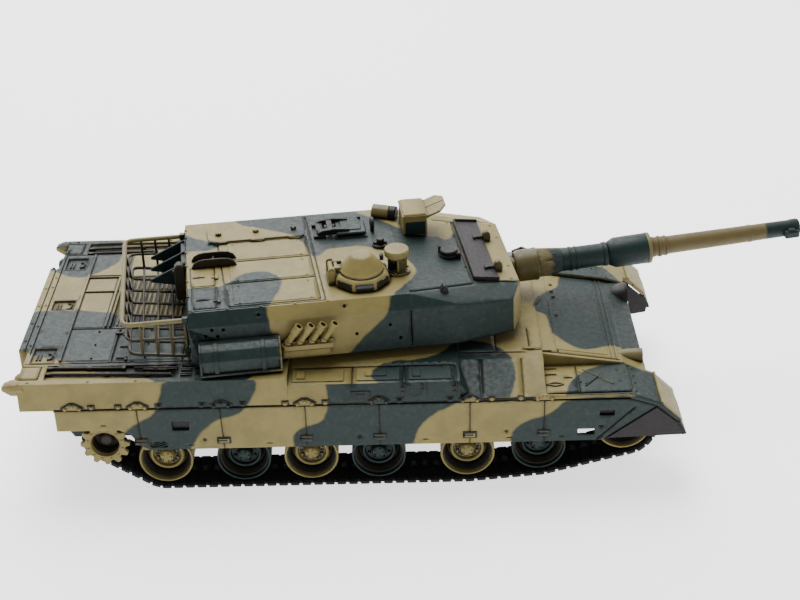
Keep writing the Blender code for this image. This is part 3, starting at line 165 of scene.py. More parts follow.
def painted(name, colour, roughness=0.5, patch=None):
    """Satin paint with painted shade in the corners, taken from ambient occlusion, a little dust and a fine
    orange peel.
    """
    tree = Tree(name)
    shade = tuple(c * 0.80 for c in colour)
    base = tree.mix(tree.ramp(tree.noise(90, 5), 0.35, 0.7), colour, shade)
    if patch:
        dark = tree.add("ShaderNodeAttribute", attribute_name="patch").outputs["Fac"]
        wobble = tree.ramp(tree.noise(150, 2), 0.3, 0.7, -0.35, 0.35)
        edge = tree.add("ShaderNodeMath", {0: dark, 1: wobble}, operation="ADD").outputs[0]
        other = tree.mix(tree.ramp(tree.noise(110, 5), 0.35, 0.7), patch, tuple(c * 0.82 for c in patch))
        base = tree.mix(tree.ramp(edge, -0.8, 0.8), base, other)
    pale = tuple(0.9 * c + 0.03 for c in colour)
    base = tree.mix(tree.ramp(tree.noise(320, 6, 0.7), 0.5, 0.8, 0, DUST), base, pale)
    # painted shade: ambient occlusion darkens the colour in corners and hollows
    occlusion_shade = tree.add("ShaderNodeAmbientOcclusion", {"Distance": 0.0024}, samples=6).outputs["AO"]
    base = tree.mix(tree.ramp(occlusion_shade, 0.42, 0.94, CORNER_SHADE, 0), base, tuple(0.05 * c for c in colour))
    tree.feed("Base Color", base)
    tree.feed("Roughness", tree.ramp(tree.noise(500, 4), 0.3, 0.7, roughness - 0.07, roughness + 0.09))
    tree.feed("Specular IOR Level", 0.26)
    tree.bump(tree.noise(2600, 3), PEEL_DEPTH)
    return tree.material


def rubber(name, colour, roughness=0.8):
    """Matt rubber or plastic, worn paler in patches."""
    tree = Tree(name)
    worn = tuple(min(1.0, c * 1.7 + 0.004) for c in colour)
    tree.feed("Base Color", tree.mix(tree.ramp(tree.noise(420, 6, 0.7), 0.45, 0.75, 0, 0.45), colour, worn))
    tree.feed("Roughness", tree.ramp(tree.noise(900, 4), 0.3, 0.7, roughness - 0.1, roughness + 0.1))
    tree.feed("Specular IOR Level", 0.25)
    tree.bump(tree.noise(1800, 5), 0.00005)
    return tree.material


def glazed(name, colour):
    """Dark clear plastic with faint smears."""
    tree = Tree(name)
    smeared = tuple(2 * c for c in colour)
    tree.feed("Base Color", tree.mix(tree.ramp(tree.noise(300, 4), 0.4, 0.7), colour, smeared))
    tree.feed("Roughness", tree.ramp(tree.noise(240, 5), 0.35, 0.7, 0.06, 0.22))
    tree.feed("Specular IOR Level", 0.35)
    return tree.material


def metal(name, colour):
    """Brushed metal."""
    tree = Tree(name)
    inputs = {"Vector": tree.place, "Scale": 900.0, "Distortion": 1.5, "Detail": 3.0}
    brushed = tree.add("ShaderNodeTexWave", inputs, bands_direction="Z").outputs["Fac"]
    dull = tuple(0.6 * c for c in colour)
    tree.feed("Base Color", tree.mix(tree.ramp(tree.noise(200, 5), 0.3, 0.7, 0, 0.5), colour, dull))
    tree.feed("Roughness", tree.ramp(brushed, 0, 1, METAL_ROUGHNESS - 0.08, METAL_ROUGHNESS + 0.1))
    tree.feed("Metallic", 1.0)
    tree.bump(brushed, 0.00003)
    return tree.material


def board(name, colour):
    """Lacquered board with copper-like traces under the green."""
    tree = Tree(name)
    inputs = {"Vector": tree.place, "Scale": 160.0}
    cells = tree.add("ShaderNodeTexVoronoi", inputs, feature="F1", distance="MANHATTAN").outputs["Distance"]
    light = tuple(min(1.0, 2.4 * c + 0.02) for c in colour)
    tree.feed("Base Color", tree.mix(tree.ramp(cells, 0.28, 0.34), colour, light))
    tree.feed("Roughness", tree.ramp(tree.noise(300, 3), 0.3, 0.7, 0.22, 0.38))
    tree.bump(cells, 0.00008)
    return tree.material


def canvas():
    """Painted cloth that turns from olive to green along the gun, with painted shade in its folds and a fine
    weave.
    """
    tree = Tree("gun_canvas")
    patch = tree.add("ShaderNodeAttribute", attribute_name="run").outputs["Fac"]
    wobble = tree.ramp(tree.noise(220, 3), 0.3, 0.7, -0.16, 0.16)
    edge = tree.add("ShaderNodeMath", {0: patch, 1: wobble}, operation="ADD").outputs[0]
    rear, front = tuple(1.25 * c for c in OLIVE), tuple(0.8 * c for c in GREEN)
    base = tree.mix(tree.ramp(edge, 0.38, 0.72), rear, front)
    # painted shade: ambient occlusion darkens the colour in the folds
    occlusion_shade = tree.add("ShaderNodeAmbientOcclusion", {"Distance": 0.002}, samples=6).outputs["AO"]
    base = tree.mix(tree.ramp(occlusion_shade, 0.3, 0.9, 0.8, 0), base, tuple(0.2 * c for c in OLIVE))
    inputs = {"Vector": tree.place, "Scale": 1400.0, "Distortion": 2.0}
    weave = tree.add("ShaderNodeTexWave", inputs).outputs["Fac"]
    tree.feed("Base Color", base)
    tree.feed("Roughness", tree.ramp(weave, 0, 1, 0.7, 0.9))
    tree.bump(weave, 0.00005)
    return tree.material


LOOKS = {
    "camouflage": painted("camouflage", SAND, patch=GREEN),
    "sand": painted("sand_paint", SAND),
    "green": painted("green_paint", GREEN),
    "olive": painted("olive_paint", OLIVE, roughness=0.45),
    "brown": painted("brown_paint", BROWN, roughness=0.5),
    # painted shade: the dark of the wheels' dishes and the sprockets' centres
    "shade": painted("painted_shade", (0.020, 0.017, 0.011), roughness=0.6),
    "rail": painted("rail_paint", (0.15, 0.125, 0.048), roughness=0.45),
    # painted shade: the basket's bars are painted dark as shade
    "bar": painted("shaded_bar_paint", (0.026, 0.020, 0.008), roughness=0.4),
    # painted shade: the gun's sand is painted darker than the hull's
    "gun": painted("shaded_gun_camouflage", (0.105, 0.080, 0.028), roughness=0.5, patch=GREEN),
    "track": rubber("track_plastic", (0.010, 0.010, 0.011), 0.72),
    "black": rubber("black_plastic", (0.006, 0.006, 0.0065), 0.5),
    "flap": rubber("flap_rubber", (0.0085, 0.0060, 0.0060), 0.5),
    "glass": glazed("periscope_glass", (0.002, 0.0025, 0.0035)),
    "wrap": rubber("battery_wrap", (0.05, 0.12, 0.35), 0.35),
    "board": board("circuit_board", (0.02, 0.16, 0.06)),
    "nylon": rubber("nylon", (0.62, 0.61, 0.57), 0.5),
    "steel": metal("motor_steel", (0.55, 0.55, 0.56)),
    "canvas": canvas(),
}
# The CAD nodes that keep their own shape, and the look each one takes.
KEPT_NODES = {
    "lower_hull": "green", "turret_base": "green", "battery_cover": "black", "battery_pack": "wrap",
    "main_circuit_board": "board", "gearbox_right": "nylon", "gearbox_left": "nylon",
    "drive_motor_right": "steel", "drive_motor_left": "steel", "traverse_motor": "steel",
    "traverse_pinion": "nylon", "elevation_motor": "steel", "power_switch": "black",
}


# Camouflage -----------------------------------------------------------------------------------

# Outlines of the dark patches in millimetres: (x, z) on the sides and (x, y) on top.
SIDE_PATCHES = [
    [(-86, 67), (-87, 56), (-92, 46), (-99, 43), (-107, 37), (-103, 33), (-96, 28), (-87, 22), (-77, 22),
     (-73, 33), (-63, 43), (-50, 47), (-46, 53), (-42, 60), (-42, 67)],
    [(-11, 67), (-9, 54), (-10, 47), (-13, 41), (-24, 37), (-28, 33), (-25, 22), (28, 22), (32, 35),
     (36, 42), (48, 49), (61, 55), (70, 60), (70, 67)],
    [(103, 51.8), (97, 46), (93, 42), (83, 39), (75, 33), (77, 22), (170, 22), (170, 51.8)],
]
TOP_PATCHES = [
    [(103, -61), (107, -55), (114, -48), (123, -45), (132, -45), (144, -46.5), (145.2, -47), (145.2, -53),
     (145.2, -92), (97, -92)],
    [(10, -75), (12, -52), (40, -50), (52, -34), (63, -35), (69, -39), (76, -45), (79, -59), (77, -66),
     (72, -75)],
    [(108, 36), (106, 20), (97, 14), (91, 1), (92, -6), (98, -8), (98, -24), (104, -32), (110, -37),
     (117, -37), (126, -31), (131, -31), (138, -36), (170, -38), (170, 26), (144, 30), (136, 44), (126, 52),
     (112, 50)],
    [(-141, 75), (-141, 64), (-125, 48), (-127, 38), (-136, 30), (-146, 30), (-156, 38), (-165, 40),
     (-165, 75)],
    [(-125, 75), (-121, 48), (-127, 38), (-136, 33), (-141, 60), (-141, 75)],
    [(-165, -4), (-140, -3), (-122, -6), (-110, -11), (-95, -10), (-70, -12), (-52, -24), (-44, -44),
     (-42, -75), (-86, -75), (-92, -66), (-110, -62), (-136, -50), (-146, -44), (-165, -40)],
    [(-100, 22), (-84, 14), (-60, 18), (-40, 30), (-30, 48), (-34, 75), (-96, 75), (-98, 50)],
    [(60, 75), (66, 50), (84, 44), (98, 52), (98, 75)],
]
TURRET_TOP_PATCHES = [
    [(-90, -20), (-73, -21), (-60, -23), (-54, -20), (-46, -11), (-35, -11), (-29, -18), (-28, -26),
     (-33, -38), (-36.5, -44.5), (-36, -49.6), (-32.1, -50), (-32.1, -70), (-90, -70)],
    [(-90, 44), (-76, 36), (-72, 32), (-62, 24), (-55, 20), (-60, 14), (-71, 16), (-90, 13)],
    [(-52, 60), (-49, 43), (-36, 32), (-22, 25), (-14, 14), (-13, 0), (-9, -2), (-5, 6), (3, 6), (14, 7),
     (21, 1), (35, -10), (37, -24), (28, -37), (22, -43), (18, -70), (92, -70), (92, -31), (80, -29),
     (70, -31), (66, -26), (62, -15), (63, 9),
     (64, 24), (57, 9), (53, 14), (47, 14), (36, 21), (30, 26), (26, 33), (14, 42), (12, 60)],
    [(69, -24), (73, -22), (77, -26), (74, -31), (69, -30)],
]
TURRET_SIDE_PATCHES = [
    [(-90, 60), (-90, 95), (-37, 95), (-36.5, 85), (-36, 79.4), (-32.1, 79), (-32, 60)],
    [(22, 95), (19, 84), (11, 76), (5, 71), (-4, 60), (92, 60), (92, 95)],
]
# The far side's patches run from front to back: x there is FAR_SIDE_X less x.
FAR_SIDE_X = -14.0
OUTSIDE = -1e3
FACES_FRONT = 0.75
PATCHES = {
    "hull": {"top": TOP_PATCHES, "side": SIDE_PATCHES},
    "turret": {"top": TURRET_TOP_PATCHES, "side": TURRET_SIDE_PATCHES, "plain_front": True},
    "gun": {
        "top": [[(40, -30), (48, -30), (47, 30), (42, 30)], [(159, -30), (190, -30), (190, 30), (159, 30)]],
        "side": [[(43, -30), (48, -30), (48, 30), (43, 30)], [(159, -30), (190, -30), (190, 30), (159, 30)]],
    },
}


def eased(outline):
    """The outline with its corners cut off, so that its edge flows."""
    for _ in range(EASING_ROUNDS):
        points = []
        for (ax, ay), (bx, by) in zip(outline, outline[1:] + outline[:1]):
            points.append((ax * 0.75 + bx * 0.25, ay * 0.75 + by * 0.25))
            points.append((ax * 0.25 + bx * 0.75, ay * 0.25 + by * 0.75))
        outline = points
    return outline


def depth_inside(points, outline):
    """For each point, how far it is inside the outline, and below zero outside it."""
    corners = np.array(eased(outline), float)
    nexts = np.roll(corners, -1, axis=0)
    nearest = np.full(len(points), 1e9)
    inside = np.zeros(len(points), bool)
    for a, b in zip(corners, nexts):
        run = b - a
        share = np.clip(((points - a) @ run) / (run @ run), 0, 1)
        nearest = np.minimum(nearest, np.hypot(*(points - a - share[:, None] * run).T))
        crosses = (a[1] > points[:, 1]) != (b[1] > points[:, 1])
        if a[1] != b[1]:
            reach = (b[0] - a[0]) * (points[:, 1] - a[1]) / (b[1] - a[1]) + a[0]
            inside ^= crosses & (points[:, 0] < reach)
    return np.where(inside, nearest, -nearest)


def mark_patches(mesh, patches):
    """Writes the depth inside the patches on each face corner, read from the top or the side."""
    count = len(mesh.loops)
    corner = np.empty(count, int)
    mesh.loops.foreach_get("vertex_index", corner)
    place = np.empty(len(mesh.vertices) * 3)
    mesh.vertices.foreach_get("co", place)
    place = place.reshape(-1, 3)[corner]
    normal = np.empty(len(mesh.polygons) * 3)
    mesh.polygons.foreach_get("normal", normal)
    totals = np.empty(len(mesh.polygons), int)
    mesh.polygons.foreach_get("loop_total", totals)
    normal = np.repeat(normal.reshape(-1, 3), totals, axis=0)
    order = np.concatenate([np.array(p.loop_indices) for p in mesh.polygons])
    from_side = np.zeros(count, bool)
    from_side[order] = np.abs(normal[:, 1]) > np.abs(normal[:, 2])
    x = np.where(from_side & (place[:, 1] > 0), FAR_SIDE_X - place[:, 0], place[:, 0])
    found = np.full(count, OUTSIDE)
    front = np.zeros(count, bool)
    front[order] = normal[:, 0] > FACES_FRONT
    for chosen, across, outlines in (
        (from_side, place[:, 2], patches["side"]), (~from_side, place[:, 1], patches["top"]),
    ):
        points = np.stack([x, across], axis=1)[chosen]
        for outline in outlines:
            found[chosen] = np.maximum(found[chosen], depth_inside(points, outline))
    if patches.get("plain_front"):
        found[front] = OUTSIDE
    layer = mesh.attributes.new("patch", "FLOAT", "CORNER")
    layer.data.foreach_set("value", found.astype(np.float32))


# Shapes ---------------------------------------------------------------------------------------

SHARP_ANGLE = math.radians(25)
EASING_ROUNDS = 2
CORNER_STEPS = 4
OUTWARD = {RIGHT: "-Y", LEFT: "Y"}
AXES = {
    "X": lambda a, b, along: (along, a, b),
    "Y": lambda a, b, along: (a, along, b),
    "Z": lambda a, b, along: (a, b, along),
}


def ring_points(count, radius, centre, shift=0.0):
    """Points evenly spread on a circle, the first one turned by a share of their spacing."""
    angles = [math.tau * (i + shift) / count for i in range(count)]
    return [(centre[0] + radius * math.cos(a), centre[1] + radius * math.sin(a)) for a in angles]


def rod(start, end, radius):
    """A plain cylinder's profile, for turned()."""
    return [(start, 0), (start, radius), (end, radius), (end, 0)]


def closed(bm):
    """The same mesh with its faces pointing out."""
    bmesh.ops.recalc_face_normals(bm, faces=bm.faces)
    return bm


def softened(bm, width):
    """The same shape with its sharp edges bevelled."""
    if width:
        sharp = [e for e in bm.edges if len(e.link_faces) == 2 and e.calc_face_angle(0) > SHARP_ANGLE]
        bmesh.ops.bevel(
            bm, geom=sharp, offset=width, segments=1, affect="EDGES", clamp_overlap=True, profile=0.6,
        )
    return bm


def prism(outline, axis, start, end, soft=0.25):
    """An outline pushed along an axis from start to end, with its edges softened."""
    bm = bmesh.new()
    rings = [[bm.verts.new(AXES[axis](a, b, along)) for a, b in outline] for along in (start, end)]
    count = len(outline)
    for i in range(count):
        j = (i + 1) % count
        bm.faces.new((rings[0][i], rings[0][j], rings[1][j], rings[1][i]))
    bm.faces.new(rings[0])
    bm.faces.new(rings[1])
    return softened(closed(bm), soft)


def block(low, high, soft=0.25):
    """A box between two opposite corners."""
    low, high = tuple(map(min, low, high)), tuple(map(max, low, high))
    outline = [(low[0], low[1]), (high[0], low[1]), (high[0], high[1]), (low[0], high[1])]
    return prism(outline, "Z", low[2], high[2], soft)


def turned(profile, axis="Z", centre=(0, 0, 0), steps=32, phase=0.0):
    """A profile of (distance along the axis, radius), turned about a line through the centre."""
    bm = bmesh.new()
    rings = []
    for along, radius in profile:
        count = 1 if radius == 0 else steps
        ring = []
        for i in range(count):
            angle = phase + math.tau * i / steps
            point = AXES[axis](radius * math.cos(angle), radius * math.sin(angle), along)
            ring.append(bm.verts.new(Vector(point) + Vector(centre)))
        rings.append(ring)
    for near, far in zip(rings, rings[1:]):
        for i in range(steps):
            j = (i + 1) % steps
            corners = [near[i % len(near)], near[j % len(near)], far[j % len(far)], far[i % len(far)]]
            corners = list(dict.fromkeys(corners))
            if len(corners) > 2:
                bm.faces.new(corners)
    for ring in (rings[0], rings[-1]):
        if len(ring) > 1:
            bm.faces.new(ring)
    return closed(bm)


def drum(radius, axis, start, end, centre=(0, 0, 0), steps=24, soft=0.25):
    """A solid cylinder with softened rims, between two distances along an axis."""
    low, high = min(start, end), max(start, end)
    soft = min(soft, radius / 3, (high - low) / 3)
    profile = [
        (low, 0), (low, radius - soft), (low + soft, radius), (high - soft, radius), (high, radius - soft),
        (high, 0),
    ]
    return turned(profile, axis, centre, steps)


def bolt(centre, axis="Z", radius=0.7, height=0.45, steps=10):
    """A small domed head standing up along plus or minus an axis."""
    sign = -1 if axis[0] == "-" else 1
    profile = [(-0.3, 0), (-0.3, radius), (height * 0.5, radius), (height, radius * 0.55), (height, 0)]
    return turned([(sign * a, r) for a, r in profile], axis[-1], centre, steps)


def bolts(places, axis="Z", radius=0.7, height=0.45):
    """One bolt at each of the places."""
    return [bolt(place, axis, radius, height) for place in places]


def pipe(points, radius, sides=10):
    """A round bar that follows the points."""
    points = [Vector(p) for p in points]
    points = points[:1] + [b for a, b in zip(points, points[1:]) if (b - a).length > 0.01]
    bm = bmesh.new()
    rings = []
    side = None
    for i, point in enumerate(points):
        before = points[max(i - 1, 0)]
        after = points[min(i + 1, len(points) - 1)]
        along = (after - before).normalized()
        if side is None:
            side = along.orthogonal().normalized()
        side = (side - along * side.dot(along)).normalized()
        other = along.cross(side)
        widening = 1.0
        if 0 < i < len(points) - 1:
            half = (point - before).angle(after - point) / 2
            widening = 1 + (1 / max(math.cos(half), 0.5) - 1) * 0.5
        ring = []
        for k in range(sides):
            angle = math.tau * k / sides
            offset = side * math.cos(angle) + other * math.sin(angle)
            ring.append(bm.verts.new(point + offset * radius * widening))
        rings.append(ring)
    for near, far in zip(rings, rings[1:]):
        for k in range(sides):
            j = (k + 1) % sides
            bm.faces.new((near[k], near[j], far[j], far[k]))
    bm.faces.new(rings[0])
    bm.faces.new(rings[-1])
    return closed(bm)


def rounded(points, radius):
    """The same path with its inner corners rounded."""
    points = [Vector(p) for p in points]
    path = [points[0]]
    for before, corner, after in zip(points, points[1:], points[2:]):
        reach = min(radius, (before - corner).length / 2, (after - corner).length / 2)
        start = corner + (before - corner).normalized() * reach
        end = corner + (after - corner).normalized() * reach
        for i in range(CORNER_STEPS + 1):
            t = i / CORNER_STEPS
            path.append(start * (1 - t) ** 2 + corner * 2 * t * (1 - t) + end * t ** 2)
    return path + [points[-1]]


def merged(*shapes):
    """All of the shapes in one mesh."""
    flat = []
    for shape in shapes:
        flat += shape if isinstance(shape, list) else [shape]
    base = flat[0]
    for shape in flat[1:]:
        mesh = bpy.data.meshes.new("part")
        shape.to_mesh(mesh)
        shape.free()
        base.from_mesh(mesh)
        bpy.data.meshes.remove(mesh)
    return base


def moved(bm, matrix):
    """The same shape after a transformation."""
    bmesh.ops.transform(bm, matrix=matrix, verts=bm.verts)
    return bm


def cad_shape(node, space, soft=0.0):
    """A CAD node's shape in millimetres, with its flat faces whole again and its edges softened."""
    bm = bmesh.new()
    bm.from_mesh(frame["nodes"][node].data)
    moved(bm, space.inverted())
    bmesh.ops.remove_doubles(bm, verts=bm.verts, dist=0.002)
    bmesh.ops.dissolve_limit(bm, angle_limit=math.radians(0.6), verts=bm.verts, edges=bm.edges)
    return softened(bm, soft)


def carved(bm, cuts):
    """The shape with the cuts taken away."""
    work = as_object(bm, "work")
    bpy.context.scene.collection.objects.link(work)
    group = bpy.data.collections.new("cuts")
    bpy.context.scene.collection.children.link(group)
    for cut in cuts:
        group.objects.link(as_object(cut, "cut"))
    modifier = work.modifiers.new("carve", "BOOLEAN")
    modifier.operation = "DIFFERENCE"
    modifier.operand_type = "COLLECTION"
    modifier.collection = group
    modifier.solver = "EXACT"
    graph = bpy.context.evaluated_depsgraph_get()
    result = bmesh.new()
    result.from_mesh(work.evaluated_get(graph).to_mesh())
    for part in list(group.objects):
        bpy.data.objects.remove(part)
    bpy.data.collections.remove(group)
    bpy.data.objects.remove(work)
    return result


def as_object(bm, name):
    """An object made from the mesh, which is used up."""
    mesh = bpy.data.meshes.new(name)
    bm.to_mesh(mesh)
    bm.free()
    return bpy.data.objects.new(name, mesh)


def refined(bm, longest):
    """Cuts long edges until none is over the length given, so that the patches' outlines are sharp."""
    for _ in range(7):
        bmesh.ops.triangulate(bm, faces=[f for f in bm.faces if len(f.verts) > 3])
        long_edges = [e for e in bm.edges if e.calc_length() > longest]
        if not long_edges:
            break
        bmesh.ops.subdivide_edges(bm, edges=long_edges, cuts=1)
    bmesh.ops.triangulate(bm, faces=[f for f in bm.faces if len(f.verts) > 3])
    return bm


SPACES = {"hull": HULL, "turret": TURRET, "gun": GUN}


def piece(name, shape, space, look, body=None, replaces=(), extra=(), pitch=4.5, tint=None):
    """One object made in the frame of the hull, turret or gun. extra is (look, shape) pairs, and
    tint is a look with a test of a face's centre, for the faces of the main shape that take it."""
    if look == "camouflage" and pitch:
        shape = refined(shape, pitch)
    looks = [look]
    for face in shape.faces:
        tinted = tint and tint[1](face.calc_center_median())
        face.material_index = len(extra) + 1 if tinted else 0
    for other, part in extra:
        for face in part.faces:
            face.material_index = len(looks)
        looks.append(other)
        shape = merged(shape, part)
    if tint:
        looks.append(tint[0])
    obj = as_object(shape, name)
    mesh = obj.data
    if {"camouflage", "gun"} & set(looks):
        mark_patches(mesh, PATCHES[space])
    mesh.transform(SPACES[space])
    mesh.shade_smooth()
    mesh.set_sharp_from_angle(angle=math.radians(32))
    for key in looks:
        mesh.materials.append(LOOKS[key])
    bpy.context.scene.collection.objects.link(obj)
    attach(obj, body or space)
    if replaces:
        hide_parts(*replaces)
    return obj


# Hull -----------------------------------------------------------------------------------------

DECK_STEP_X, DECK_END_X = -28.0, 60.0
# Raised plates, as (x0, x1, y0, y1); the handles' pockets as (x0, y0, y1); the grilles as (y0, y1).
DECK_PANELS = (
    (-134.8, -120.6, 15.2, 27.2), (-134.8, -120.6, -20.6, 12.8), (-134.8, -112.8, -50.6, -23),
    (-134.8, -118, 29.6, 52), (-115.2, -79.4, 29.6, 52), (-110.2, -79.4, -50.6, -23),
)
POCKETS = ((-150, 38, 50.2), (-149.2, -2.5, 6), (-150, -51.5, -38.7))
POCKET_LENGTH = 10.8
GRILLES = ((-19.5, 12.5), (15.5, 27))
# Where the skirt's plates meet.
SEAMS = (-98.0, -59.2, -20.3, 14.2, 56.4, 91.1)
# Grooves are cut this much wider than measured, so that they show.
GROOVE_WIDENING = 1.3


def groove(a, b, z, width=0.6, depth=0.8, drop=0.0):
    """A cutter for a line from a to b along a surface whose height is z at a and z + drop at b."""
    a, b = Vector((*a, z)), Vector((*b, z + drop))
    run = b - a
    width *= GROOVE_WIDENING
    bm = block((0, -width / 2, -depth), (run.length, width / 2, 3), 0)
    turn = run.to_track_quat("X", "Z").to_matrix().to_4x4()
    return moved(bm, Matrix.Translation(a) @ turn)


def frame_lines(x0, x1, y0, y1, z, **how):
    """Grooves along the four edges of a rectangle."""
    corners = [(x0, y0), (x1, y0), (x1, y1), (x0, y1)]
    return [groove(a, b, z, **how) for a, b in zip(corners, corners[1:] + corners[:1])]


def glacis_z(x):
    """The height of the nose's top at x."""
    if x < 82:
        return 60.85
    if x < 131:
        return 60.7 + (x - 82) * (53 - 60.7) / (131 - 82)
    return 53 + (x - 131) * (47 - 53) / (142 - 131)


def hull_deck():
    """The cutters for the deck's pockets, trays, panel lines and slots."""
    cuts = []
    for x0, y0, y1 in POCKETS:
        cuts.append(block((x0, y0, ENGINE_Z - 1.1), (x0 + POCKET_LENGTH, y1, ENGINE_Z + 3), 0))
    for x in (-154.6, -151.4):
        cuts.append(groove((x, -45), (x, 60), ENGINE_Z, 0.5))
    for x, y0, y1 in ((-136, -51.8, 54), (-116.4, -21, 54), (-111.4, -52, -22.4), (-78, -52, 53)):
        cuts.append(groove((x, y0), (x, y1), ENGINE_Z, 0.6))
    for y, x0, x1 in (
        (-52.6, -152, -60), (53.8, -152, -60), (-21.9, -136, -78), (28.4, -136, -78), (14, -136, -78),
    ):
        cuts.append(groove((x0, y), (x1, y), ENGINE_Z, 0.6))
    cuts += frame_lines(-153, -143.8, -66, -55, ENGINE_Z, width=0.4)
    cuts += frame_lines(-153, -143.8, 55, 66, ENGINE_Z, width=0.4)
    for side in SIDES.values():
        cuts.append(block((-141, side * 54, ENGINE_Z - 1.3), (-80, side * 66.5, ENGINE_Z + 3), 0))
        cuts.append(groove((DECK_STEP_X + 2, side * 56), (50, side * 56), DECK_Z, 0.6))
        for x in (2, 26, 50):
            cuts.append(groove((x, side * 56), (x, side * 72), DECK_Z, 0.6))
        for x in (107.7, 132.4):
            cuts.append(groove((x, side * 45.5), (x, side * 68.4), FENDER_Z + 0.2, 0.5, 0.6))
        cuts.append(groove((92.5, side * 68.8), (132, side * 68.8), FENDER_Z, 0.9, 0.9))
        cuts.append(block((-137, side * 70.2, 49), (131, side * 74, 50.95), 0))
        for x0, x1, y in ((92.6, 98.6, 47.8), (92.3, 98.3, 52.8), (101.4, 105.6, 55.8)):
            cuts.append(block((x0, side * y - 0.6, 50.9), (x1, side * y + 0.6, 55), 0))
    drop = glacis_z(130) - glacis_z(82.5)
    for y in (-43, 43):
        cuts.append(groove((82.5, y), (130, y), glacis_z(82.5), 0.5, 0.6, drop))
    cuts.append(groove((86, -24), (86, -43), glacis_z(86), 0.5))
    cuts.append(groove((100, -43), (100, -6), glacis_z(100), 0.5))
    cuts.append(groove((70, -52), (70, -24), DECK_Z, 0.5))
    for x in (62, 81.5):
        cuts.append(groove((x, -50), (x, -69.6), 60.2, 0.5, 0.8, -8.6))
    return cuts


def hull_shell():
    """The moulded upper hull with its cuts made."""
    shape = cad_shape("upper_hull", HULL, 0.35)
    piece("hull_deck", carved(shape, hull_deck()), "hull", "camouflage", replaces=["upper_hull"], pitch=4.0)


def deck_panels():
    """Raised plates, rails and ribs on the engine deck and the sponsons."""
    top = ENGINE_Z - 0.2
    parts = []
    for x0, x1, y0, y1 in DECK_PANELS:
        parts.append(block((x0, y0, top), (x1, y1, top + 0.5), 0.2))
    for x0, x1, y0, y1 in (
        (-136.6, -135.4, -51, 53), (-119.9, -118.7, -21, 28), (-117.7, -116.9, -21, 28),
        (-136, -118, 28, 28.8), (-136, -118, 29.8, 30.4), (-135, -120, 13.4, 14.6),
    ):
        parts.append(block((x0, y0, top), (x1, y1, top + 1.2), 0.2))
    for y0, y1 in GRILLES:
        for i in range(14):
            x = -114.6 + 2.5 * i
            parts.append(block((x, y0, top), (x + 1.2, y1, top + 0.7), 0.2))
    return parts


def outlined(x0, x1, y0, y1, z, width=0.5):
    """Thin dark strips along the four edges of a rectangle, the joint round it with its shade painted in."""
    return [
        block((x0 - width, y0 - width, z - 0.3), (x0, y1 + width, z), 0),
        block((x1, y0 - width, z - 0.3), (x1 + width, y1 + width, z), 0),
        block((x0, y0 - width, z - 0.3), (x1, y0, z), 0), block((x0, y1, z - 0.3), (x1, y1 + width, z), 0),
    ]


def deck_lines():
    """Dark strips round the raised plates, the joints with their shade painted in; the latches beside them;
    and painted shade in the tool channel and under the grilles' slots.
    """
    dark = []
    for panel in DECK_PANELS:
        dark += outlined(*panel, ENGINE_Z + 0.12)
    for x, y0, y1 in POCKETS:
        dark += outlined(x, x + POCKET_LENGTH, y0, y1, ENGINE_Z + 0.1, 0.4)
    # painted shade: a dark strip in the tool channel and dark plates under the grilles
    dark.append(block((-136, -55.4, ENGINE_Z - 0.6), (-74, -53.4, ENGINE_Z + 0.1), 0))
    for y0, y1 in GRILLES:
        dark.append(block((-115.2, y0 - 0.4, ENGINE_Z - 0.4), (-79.6, y1 + 0.4, ENGINE_Z + 0.05), 0))
    for x, y in ((-110.7, -27), (-106.7, -39), (-107, -49)):
        dark.append(block((x - 2.6, y - 0.7, ENGINE_Z), (x + 2.6, y + 0.7, ENGINE_Z + 0.9), 0.15))
        dark.append(block((x + 1.4, y - 2.6, ENGINE_Z), (x + 2.6, y + 0.7, ENGINE_Z + 0.9), 0.15))
    for x, y in ((-82, -59), (-75, -56.5), (-75, -60.5), (-75, -64.5), (-68, -58), (-68, -63)):
        dark.append(block((x - 2.6, y - 1.1, ENGINE_Z - 0.3), (x + 2.6, y - 0.3, ENGINE_Z + 0.8), 0.15))
        dark.append(block((x - 2.6, y + 0.3, ENGINE_Z - 0.3), (x + 2.6, y + 1.1, ENGINE_Z + 0.8), 0.15))
    for x in (-121.5, -96):
        dark += bolts([(x, y, ENGINE_Z + 0.5) for y in (-49, -37, -25)], radius=0.55)
    return dark


def deck_fittings():
    """Bolt heads on the engine deck."""
    top = ENGINE_Z
    parts = bolts([(-156.2, y, top) for y in (40, 19, 1.5, -15.2, -31.3)], radius=0.8)
    parts += bolts([(-152.9, y, top) for y in (30, 20.2, 2, -17.9, -36)], radius=0.6)
    parts += bolts([(-136, y, top + 0.4) for y in (-48, -34, -12, 8, 22, 40)], radius=0.55)
    parts += bolts([(-119.3, y, top + 0.4) for y in (-18, -2, 12, 25)], radius=0.55)
    parts += bolts([(x, side * 68.4, top) for x in (-148, -120, -98, -70) for side in (-1, 1)], radius=0.6)
    return parts


def pocket_handles():
    """Two ribs and a bent handle in each of the deck's pockets."""
    parts = []
    for x, y0, y1 in POCKETS:
        middle = (y0 + y1) / 2
        z = ENGINE_Z - 0.7
        parts.append(block((x + 1.8, middle - 3, z - 0.6), (x + 2.6, middle + 2, z + 0.3), 0.1))
        parts.append(block((x + 3.4, middle - 3, z - 0.6), (x + 4.2, middle + 2, z + 0.3), 0.1))
        hook = [
            (x + 7, middle + 2.4, z), (x + 9, middle + 2.4, z), (x + 9, middle - 2.4, z),
            (x + 7, middle - 2.4, z),
        ]
        parts.append(pipe(rounded(hook, 1.2), 0.4, 8))
    return parts


